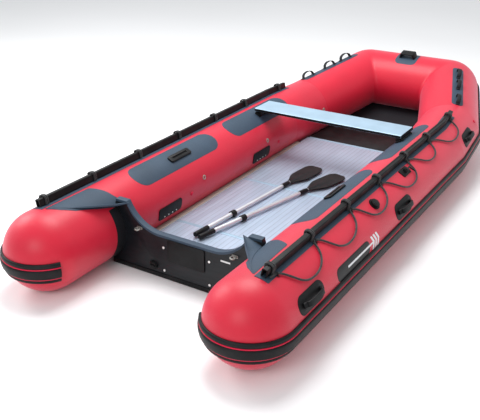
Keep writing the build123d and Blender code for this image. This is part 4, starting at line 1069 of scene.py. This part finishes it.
@dataclass
class Gusset:
    """Cloth web from a transom ear to the top of its tube, with a skirt glued along the tube."""

    yard: Yard
    peak: tuple[float, float, float] = (0.400, -1.5835, 0.461)
    thick: float = 0.0012
    slack: float = 0.016
    steps: int = 26

    def contact(self, share: float, normal: Vector, peak: Vector) -> Vector:
        """Where the web's plane meets the tube at a share of its way down."""
        angle = -47 * share
        base = SIDE.point(0, angle, 0.0022)
        reach = normal.dot(peak - base) / normal.dot(SIDE.along)
        return SIDE.point(reach, angle, 0.0022)

    def web(self) -> bpy.types.Object:
        """The free part of the cloth, a fan that hangs a little slack from the ear."""
        peak = Vector(self.peak)
        top = SIDE.point(0.035, 0)
        low = SIDE.point(0.4265, -47)
        normal = (top - peak).cross(low - peak).normalized()
        if normal.z < 0:
            normal = -normal
        rows = []
        for r in range(self.steps + 1):
            share = r / self.steps
            foot = self.contact(share, normal, peak)
            crown = peak.lerp(low, 0.035 * share)
            row = []
            for c in range(self.steps + 1):
                t = c / self.steps
                sag = self.slack * math.sin(math.pi * t) * math.sin(math.pi * min(1, share * 1.05)) ** 0.8
                fold = 0.004 * math.sin(3 * math.pi * share + 0.6) * math.sin(math.pi * t)
                row.append(self.resting(foot.lerp(crown, t) - normal * (sag + fold)))
            rows.append(row)
        return Bench.skin("web", rows, closed=False)

    def resting(self, point: Vector) -> Vector:
        """The point, moved out to the tube's skin where it is inside it."""
        axis = Vector((SIDE.start.x, point.y, SIDE.start.z))
        offset = point - axis
        least = TUBE_R + 0.0026
        return axis + offset.normalized() * max(offset.length, least)

    def skirt(self) -> bpy.types.Object:
        """The glued part of the cloth."""
        inner = (
            (0.030, 0.700), (0.080, 0.640), (0.150, 0.590), (0.300, 0.540),
            (0.415, 0.515), (0.430, 0.504), (0.515, 0.500),
        )
        outer = ((0.030, 0.712), (0.390, 0.702), (0.445, 0.610), (0.462, 0.562), (0.515, 0.503))

        def edge(table: Sequence[tuple[float, float]], station: float) -> float:
            """x of an edge at a station."""
            for (s0, x0), (s1, x1) in zip(table, table[1:]):
                if station <= s1:
                    return x0 + (x1 - x0) * (station - s0) / (s1 - s0)
            return table[-1][1]

        rows = []
        for r in range(self.steps * 2 + 1):
            station = 0.030 + 0.485 * r / (self.steps * 2)
            a, b = (
                math.degrees(math.asin((edge(t, station) - HALF_SPACING) / TUBE_R)) for t in (inner, outer)
            )
            rows.append([SIDE.point(station, a + (b - a) * c / 10, 0.0016) for c in range(11)])
        return Bench.skin("skirt", rows, closed=False)

    def build(self) -> None:
        """Builds both gussets."""
        for side in ("starboard", "port"):
            piece = Bench.join(f"{side}_gusset_cloth", [self.web(), self.skirt()])
            if side == "port":
                piece.data.transform(Matrix.Scale(-1, 4, Vector((1, 0, 0))))
            Bench.take(piece)
            bpy.ops.object.mode_set(mode="EDIT")
            bpy.ops.mesh.select_all(action="SELECT")
            bpy.ops.mesh.remove_doubles(threshold=1e-5)
            bpy.ops.mesh.normals_make_consistent(inside=False)
            bpy.ops.object.mode_set(mode="OBJECT")
            lowest = max(piece.data.polygons, key=lambda f: f.center.z)
            if lowest.normal.z < 0:
                piece.data.flip_normals()
            Bench.apply(piece, "SOLIDIFY", thickness=self.thick, offset=-1)
            Bench.take(piece)
            bpy.ops.object.shade_smooth_by_angle(angle=math.radians(50))
            self.yard.finish(piece, "grey_fabric", replaced=(f"{side}_gusset",))


# ------------------------------------------------------------------ hard parts
@dataclass
class Hardware:
    """Every stiff part of the frame, refined, with the small details that it lacks."""

    yard: Yard
    refinements: tuple[tuple[str, str, float], ...] = (
        ("transom_board", "ply", 0.003), ("transom_cap", "grey_fabric", 0.0015),
        ("transom_foot", "black_plastic", 0.0015),
        ("motor_pads", "black_plastic", 0.002), ("towing_eyes", "eye_steel", 0.0015),
        ("drain_socket", "black_plastic", 0.0012),
        ("drain_plug", "black_plastic", 0.0012), ("hull_bottom", "dark_fabric", 0),
        ("keel_strip", "black_rubber", 0.0012),
        ("keel_tube", "grey_fabric", 0), ("aft_floor_panel", "floor_alloy", 0),
        ("middle_floor_panel", "floor_alloy", 0),
        ("fore_floor_panel", "floor_alloy", 0), ("floor_joiners", "seat_alloy", 0.0005),
        ("floor_stringers", "stringer_alloy", 0.0008), ("bow_board", "black_plastic", 0.002),
        ("port_rail", "black_plastic", 0.0015), ("starboard_rail", "black_plastic", 0.0015),
        ("seat_holders", "black_plastic", 0.003), 
        ("bow_line_guide", "black_rubber", 0.006),
        ("oarlock_bases", "black_plastic", 0.0015), ("valve_bodies", "black_plastic", 0.0012),
        ("cleat_plates", "black_rubber", 0.002), ("chamber_rings", "stringer_alloy", 0.0012),
        ("line_clips", "black_plastic", 0.0004), ("line_pads", "red_plastic", 0.002),
        ("small_screws", "screw_steel", 0.0008),
        ("seat_board", "seat_alloy", 0), ("seat_hooks", "black_plastic", 0.0008),
        ("port_oarlock", "black_plastic", 0.0012), ("starboard_oarlock", "black_plastic", 0.0012),
        ("port_valve_cap", "black_plastic", 0.0012), ("starboard_valve_cap", "black_plastic", 0.0012),
        ("port_valve_stem", "red_plastic", 0.0006), ("starboard_valve_stem", "red_plastic", 0.0006),
        ("port_oar_lower_shaft", "shaft_alloy", 0), ("starboard_oar_lower_shaft", "shaft_alloy", 0),
        ("port_oar_upper_shaft", "shaft_alloy", 0), ("starboard_oar_upper_shaft", "shaft_alloy", 0),
        ("port_oar_grip", "black_rubber", 0.002), ("starboard_oar_grip", "black_rubber", 0.002),
        ("chamber_baffles", "red_fabric", 0),
    )

    def build(self) -> None:
        """Refines every listed node."""
        for node, finish, edge in self.refinements:
            self.yard.refine(node, finish, f"{node}_finished", edge)

    def label(self) -> None:
        """Blank silver plate on the transom."""
        plate = Shapes.block((0.066, 0.011, 0.0012), 0.0005, 2)
        seat = Matrix(((1, 0, 0, 0.280), (0, 0, -1, -1.5802), (0, 1, 0, 0.250), (0, 0, 0, 1)))
        Bench.place(plate, seat)
        self.yard.finish(Bench.rename(plate, "transom_plate"), "steel")


@dataclass
class Trim:
    """Pieces laid over the frame's parts: joint tapes, stripes, seat edge, webbing loops and blades."""

    yard: Yard
    loop_half: float = 0.075
    loop_height: float = 0.052
    loop_width: float = 0.034
    loop_thick: float = 0.005

    def joint_tapes(self) -> None:
        """Dark tape that joins the transom to each tube, aft of it."""
        rows = []
        for r in range(13):
            station = 0.352 + (0.510 - 0.352) * r / 12
            height = 0.0017 - 0.0007 * abs(r / 6 - 1) ** 8
            rows.append([SIDE.point(station, -51 - 100 * c / 60, height) for c in range(61)])
        tape = Bench.skin("transom_joint_tapes", rows, closed=False)
        inner = tape.data.polygons[len(tape.data.polygons) // 2]
        if inner.normal.dot(SIDE.out(-98)) < 0:
            tape.data.flip_normals()
        Bench.apply(tape, "SOLIDIFY", thickness=0.0014, offset=-1)
        Bench.both_sides(tape)
        Bench.take(tape)
        bpy.ops.object.shade_smooth_by_angle(angle=math.radians(50))
        self.yard.finish(tape, "dark_fabric")

    def side_stripes(self) -> None:
        """Plain printed panel with slanting bars on the starboard side."""
        panel = wrapped_pad(SIDE, 0.720, 74, 0.430, 0.082, 0.0004, 0.036)
        self.yard.finish(Bench.rename(panel, "side_panel_print"), "black_print")
        bars = []
        for k in range(3):
            rows = []
            for r in range(9):
                across = (r / 8 - 0.5) * 0.080
                lean = 0.018 - abs(across) * 0.55
                start = 0.968 + 0.034 * k + lean
                rows.append([
                    SIDE.point(start + 0.020 * c / 3, 74 + math.degrees(across / TUBE_R), 0.0006)
                    for c in range(4)
                ])
            bar = Bench.skin("bar", rows, closed=False)
            if bar.data.polygons[0].normal.dot(SIDE.out(74)) < 0:
                bar.data.flip_normals()
            bars.append(Bench.apply(bar, "SOLIDIFY", thickness=0.0004, offset=-1))
        rows = []
        for r in range(5):
            across = (r / 4 - 0.5) * 0.012
            rows.append([
                SIDE.point(0.640 + 0.350 * c / 24, 74 + math.degrees(across / TUBE_R), 0.0011)
                for c in range(25)
            ])
        middle = Bench.skin("bar", rows, closed=False)
        if middle.data.polygons[0].normal.dot(SIDE.out(74)) < 0:
            middle.data.flip_normals()
        bars.append(Bench.apply(middle, "SOLIDIFY", thickness=0.0004, offset=-1))
        self.yard.finish(Bench.join("side_bars_print", bars), "white_print")

    def seat_edge(self) -> None:
        """Dark anodised strips along the seat's edges."""
        low, high = (Vector(p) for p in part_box("seat_board"))
        strips = []
        for y, turn in ((low.y, 1), (high.y, -1)):
            strip = Shapes.block((high.x - low.x - 0.004, 0.0016, 0.017), 0.0006, 2)
            Bench.place(strip, Matrix.Translation((0, y - 0.0005 * turn, (low.z + high.z) / 2 - 0.0085)))
            strips.append(strip)
        self.yard.finish(Bench.join("seat_edge_strips", strips), "black_plastic", "seat")

    def arch(
        self, seat: Matrix, half: float, height: float, width: float, thick: float, square: float
    ) -> bpy.types.Object:
        """Band that stands on a seat as an arch.

        Args:
            seat: placing matrix, x along the arch and z up from the seat.
            half: half its length.
            height: of its top.
            width: of the band.
            thick: of the band.
            square: power of its curve, squarer when smaller.

        Returns:
            The arch, closed.
        """
        path = [(-half, 0.0), (-half + 0.006, thick / 4)]
        for k in range(25):
            turn = math.pi * (1 - k / 24)
            swell = max(math.sin(turn), 0.0) ** square
            path.append((math.cos(turn) * half * 0.78, thick * 0.8 + swell * (height - 1.9 * thick)))
        path += [(half - 0.006, thick / 4), (half, 0.0)]
        rows = []
        for k, (x, z) in enumerate(path):
            x0, z0 = path[max(k - 1, 0)]
            x1, z1 = path[min(k + 1, len(path) - 1)]
            way = Vector((x1 - x0, 0, z1 - z0)).normalized()
            out = Vector((-way.z, 0, way.x))
            reach, deep = width / 2, thick / 2
            ring = []
            for y, t in (
                (-1, -0.6), (-1, 0.6), (-0.9, 1), (0, 1.15), (0.9, 1),
                (1, 0.6), (1, -0.6), (0.9, -1), (0, -1.1), (-0.9, -1),
            ):
                ring.append(seat @ (Vector((x, y * reach, z + deep)) + out * t * deep))
            rows.append(ring)
        middle = [sum(row, Vector()) / len(row) for row in (rows[0], rows[-1])]
        first = [middle[0].lerp(p, 0.05) for p in rows[0]]
        last = [middle[1].lerp(p, 0.05) for p in rows[-1]]
        return Bench.tidy(Bench.skin("arch", [first, *rows, last], closed=True), merge=1e-6, angle=50)

    def bow_loops(self) -> None:
        """Three webbing loops on each bow tube."""
        arches = [
            self.arch(
                CHEEK.seat(along, 12, 0.0030), self.loop_half, self.loop_height,
                self.loop_width, self.loop_thick, 0.8,
            )
            for along in (0.111, 0.387, 0.600)
        ]
        loops = Bench.join("bow_webbing_loops", arches)
        Bench.both_sides(loops)
        self.yard.finish(loops, "dark_fabric", replaced=("bow_loops",))

    def handles(self) -> None:
        """Carrying handles: a moulded pad and an arched grip, three a side."""
        pieces = []
        for leg, along, angle in ((SIDE, 0.215, 68), (SIDE, 1.490, 68), (SHOULDER, 0.200, 62)):
            pieces.append(wrapped_pad(leg, along, angle, 0.270, 0.108, 0.003, 0.050, crown=0.0015))
            pieces.append(wrapped_pad(leg, along, angle, 0.236, 0.078, 0.0052, 0.036))
            pieces.append(self.arch(leg.seat(along, angle, 0.004), 0.100, 0.040, 0.030, 0.012, 0.36))
        grips = Bench.join("handle_pads_and_grips", pieces)
        Bench.both_sides(grips)
        Bench.take(grips)
        bpy.ops.object.shade_smooth_by_angle(angle=math.radians(45))
        self.yard.finish(grips, "black_rubber", replaced=("carry_handles",))

    def blades(self) -> None:
        """Moulded oar blades with a spine, a rolled rim and a socket for the shaft."""
        ends = {"port": ((-0.190, 0.790), (-0.092, 1.850)), "starboard": ((-0.146, 0.775), (0.085, 1.803))}
        for side, ((grip_x, grip_station), (neck_x, neck_station)) in ends.items():
            run = Vector((neck_x - grip_x, neck_station - grip_station, 0))
            neck = run.length
            run.normalize()
            along = (run - Vector((0, 0, 0.004))).normalized()
            collar = Vector((grip_x, grip_station - MIDSHIP, 0.1423)) + run * 0.4
            root = collar + along * (neck - 0.4)
            across = along.cross(Vector((0, 0, 1))).normalized()
            up = across.cross(along)
            rows = []
            for k in range(45):
                share = k / 44
                x = 0.410 * share
                grown = min(share / 0.46, 1.0)
                half = 0.0165 + (0.078 - 0.0165) * (grown * grown * (3 - 2 * grown))
                if share > 0.80:
                    half *= math.sqrt(max(1 - ((share - 0.80) / 0.2) ** 2.6 * 0.72, 0.0))
                spine = 0.0065 * max(0.0, 1 - share / 0.82) ** 0.7
                ring = []
                for c in range(28):
                    turn = 2 * math.pi * c / 28
                    y = math.cos(turn) * half
                    bump = spine * math.exp(-(y / 0.011) ** 2)
                    rim = 0.0010 * min(1.0, (abs(y) / half) ** 6)
                    thick = (0.0026 + bump + rim) * max(0.0, abs(math.sin(turn))) ** 0.35
                    ring.append(root + along * x + across * y + up * math.copysign(thick, math.sin(turn)))
                rows.append(ring)
            first, last = (sum(row, Vector()) / len(row) for row in (rows[0], rows[-1]))
            rows = [[first.lerp(p, 0.03) for p in rows[0]], *rows, [last.lerp(p, 0.03) for p in rows[-1]]]
            blade = Bench.tidy(Bench.skin("blade", rows, closed=True), merge=1e-7, angle=50)
            profile = (
                (0.0145, -0.070), (0.0168, -0.069), (0.0172, -0.062), (0.0166, -0.050), (0.0168, -0.010),
                (0.0150, 0.012), (0.0105, 0.030), (0.0070, 0.052), (0.0015, 0.060),
            )
            turns = [2 * math.pi * c / 32 for c in range(32)]
            spokes = [across * math.cos(turn) + up * math.sin(turn) for turn in turns]
            socket_rows = [[root + along * x + spoke * r for spoke in spokes] for r, x in profile]
            socket = Bench.tidy(Bench.skin("socket", socket_rows, closed=True), merge=1e-7, angle=50)
            whole = Bench.join(f"{side}_oar_blade_moulding", [blade, socket])
            self.yard.finish(whole, "black_plastic", f"{side}_oar", (f"{side}_oar_blade",))

    def build(self) -> None:
        """Builds all the trim."""
        self.handles()
        self.blades()
        self.joint_tapes()
        self.side_stripes()
        self.seat_edge()
        self.bow_loops()


# ------------------------------------------------------------------ studio
@dataclass
class Studio:
    """Pale floor, soft lights and the camera."""

    place: tuple[float, float, float] = (2.389, -4.791, 2.397)
    yaw: float = 32.05
    pitch: float = 25.30
    lens: float = 57.24

    def camera(self) -> None:
        """Sets the camera."""
        data = bpy.data.cameras.new("camera")
        data.lens = self.lens
        data.sensor_width = 36
        data.clip_end = 100
        camera = bpy.data.objects.new("camera", data)
        camera.location = self.place
        camera.rotation_euler = (math.radians(90 - self.pitch), 0, math.radians(self.yaw))
        bpy.context.scene.collection.objects.link(camera)
        bpy.context.scene.camera = camera

    def floor(self) -> None:
        """Lays the floor."""
        Bench.free_hands()
        bpy.ops.mesh.primitive_plane_add(size=60, location=(0, 0, 0))
        floor = bpy.context.object
        floor.name = "studio_floor"
        made = Recipe("studio_floor", (0.93, 0.93, 0.935), 0.6)
        shade = made.noise(made.place(Coordinates.OBJECT), 0.4, 2)
        made.tint(made.ramp(shade, 0.3, 0.7, (0.91, 0.91, 0.915), (0.94, 0.94, 0.945)))
        floor.data.materials.append(made.material)

    def light(
        self, name: str, place: Sequence[float], aim: Sequence[float], size: float, power: float
    ) -> None:
        """Hangs a square soft light."""
        data = bpy.data.lights.new(name, "AREA")
        data.shape = "SQUARE"
        data.size = size
        data.energy = power
        lamp = bpy.data.objects.new(name, data)
        lamp.location = place
        lamp.rotation_euler = (Vector(aim) - Vector(place)).to_track_quat("-Z", "Y").to_euler()
        bpy.context.scene.collection.objects.link(lamp)

    def build(self) -> None:
        """Sets everything up but the camera."""
        self.floor()
        world = bpy.data.worlds.new("studio")
        world.use_nodes = True
        world.node_tree.nodes["Background"].inputs["Color"].default_value = (0.96, 0.98, 1.0, 1)
        world.node_tree.nodes["Background"].inputs["Strength"].default_value = 0.72
        bpy.context.scene.world = world
        self.light("overhead", (-1.0, 0.3, 5.0), (0, 0, 0), 3.0, 260)
        self.light("port_side", (-5.5, -1.0, 3.6), (0, 0, 0.3), 2.6, 170)
        self.light("astern", (0.5, -7.0, 3.8), (0, -1, 0.3), 2.4, 110)


def main() -> None:
    """Builds the boat over its frame."""
    logging.basicConfig(level=logging.INFO, format="%(name)s: %(message)s")
    bpy.context.scene.view_settings.view_transform = "Standard"
    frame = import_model()
    Studio().camera()
    yard = Yard(frame, Finishes())
    Lifelines(yard).build()
    run = TubeRun()
    BuoyancyTubes(yard, run).build()
    RubbingStrake(yard, run).build()
    Patches(yard).build()
    Gusset(yard).build()
    hardware = Hardware(yard)
    hardware.build()
    hardware.label()
    Trim(yard).build()
    Studio().build()


if __name__ == "__main__":
    main()
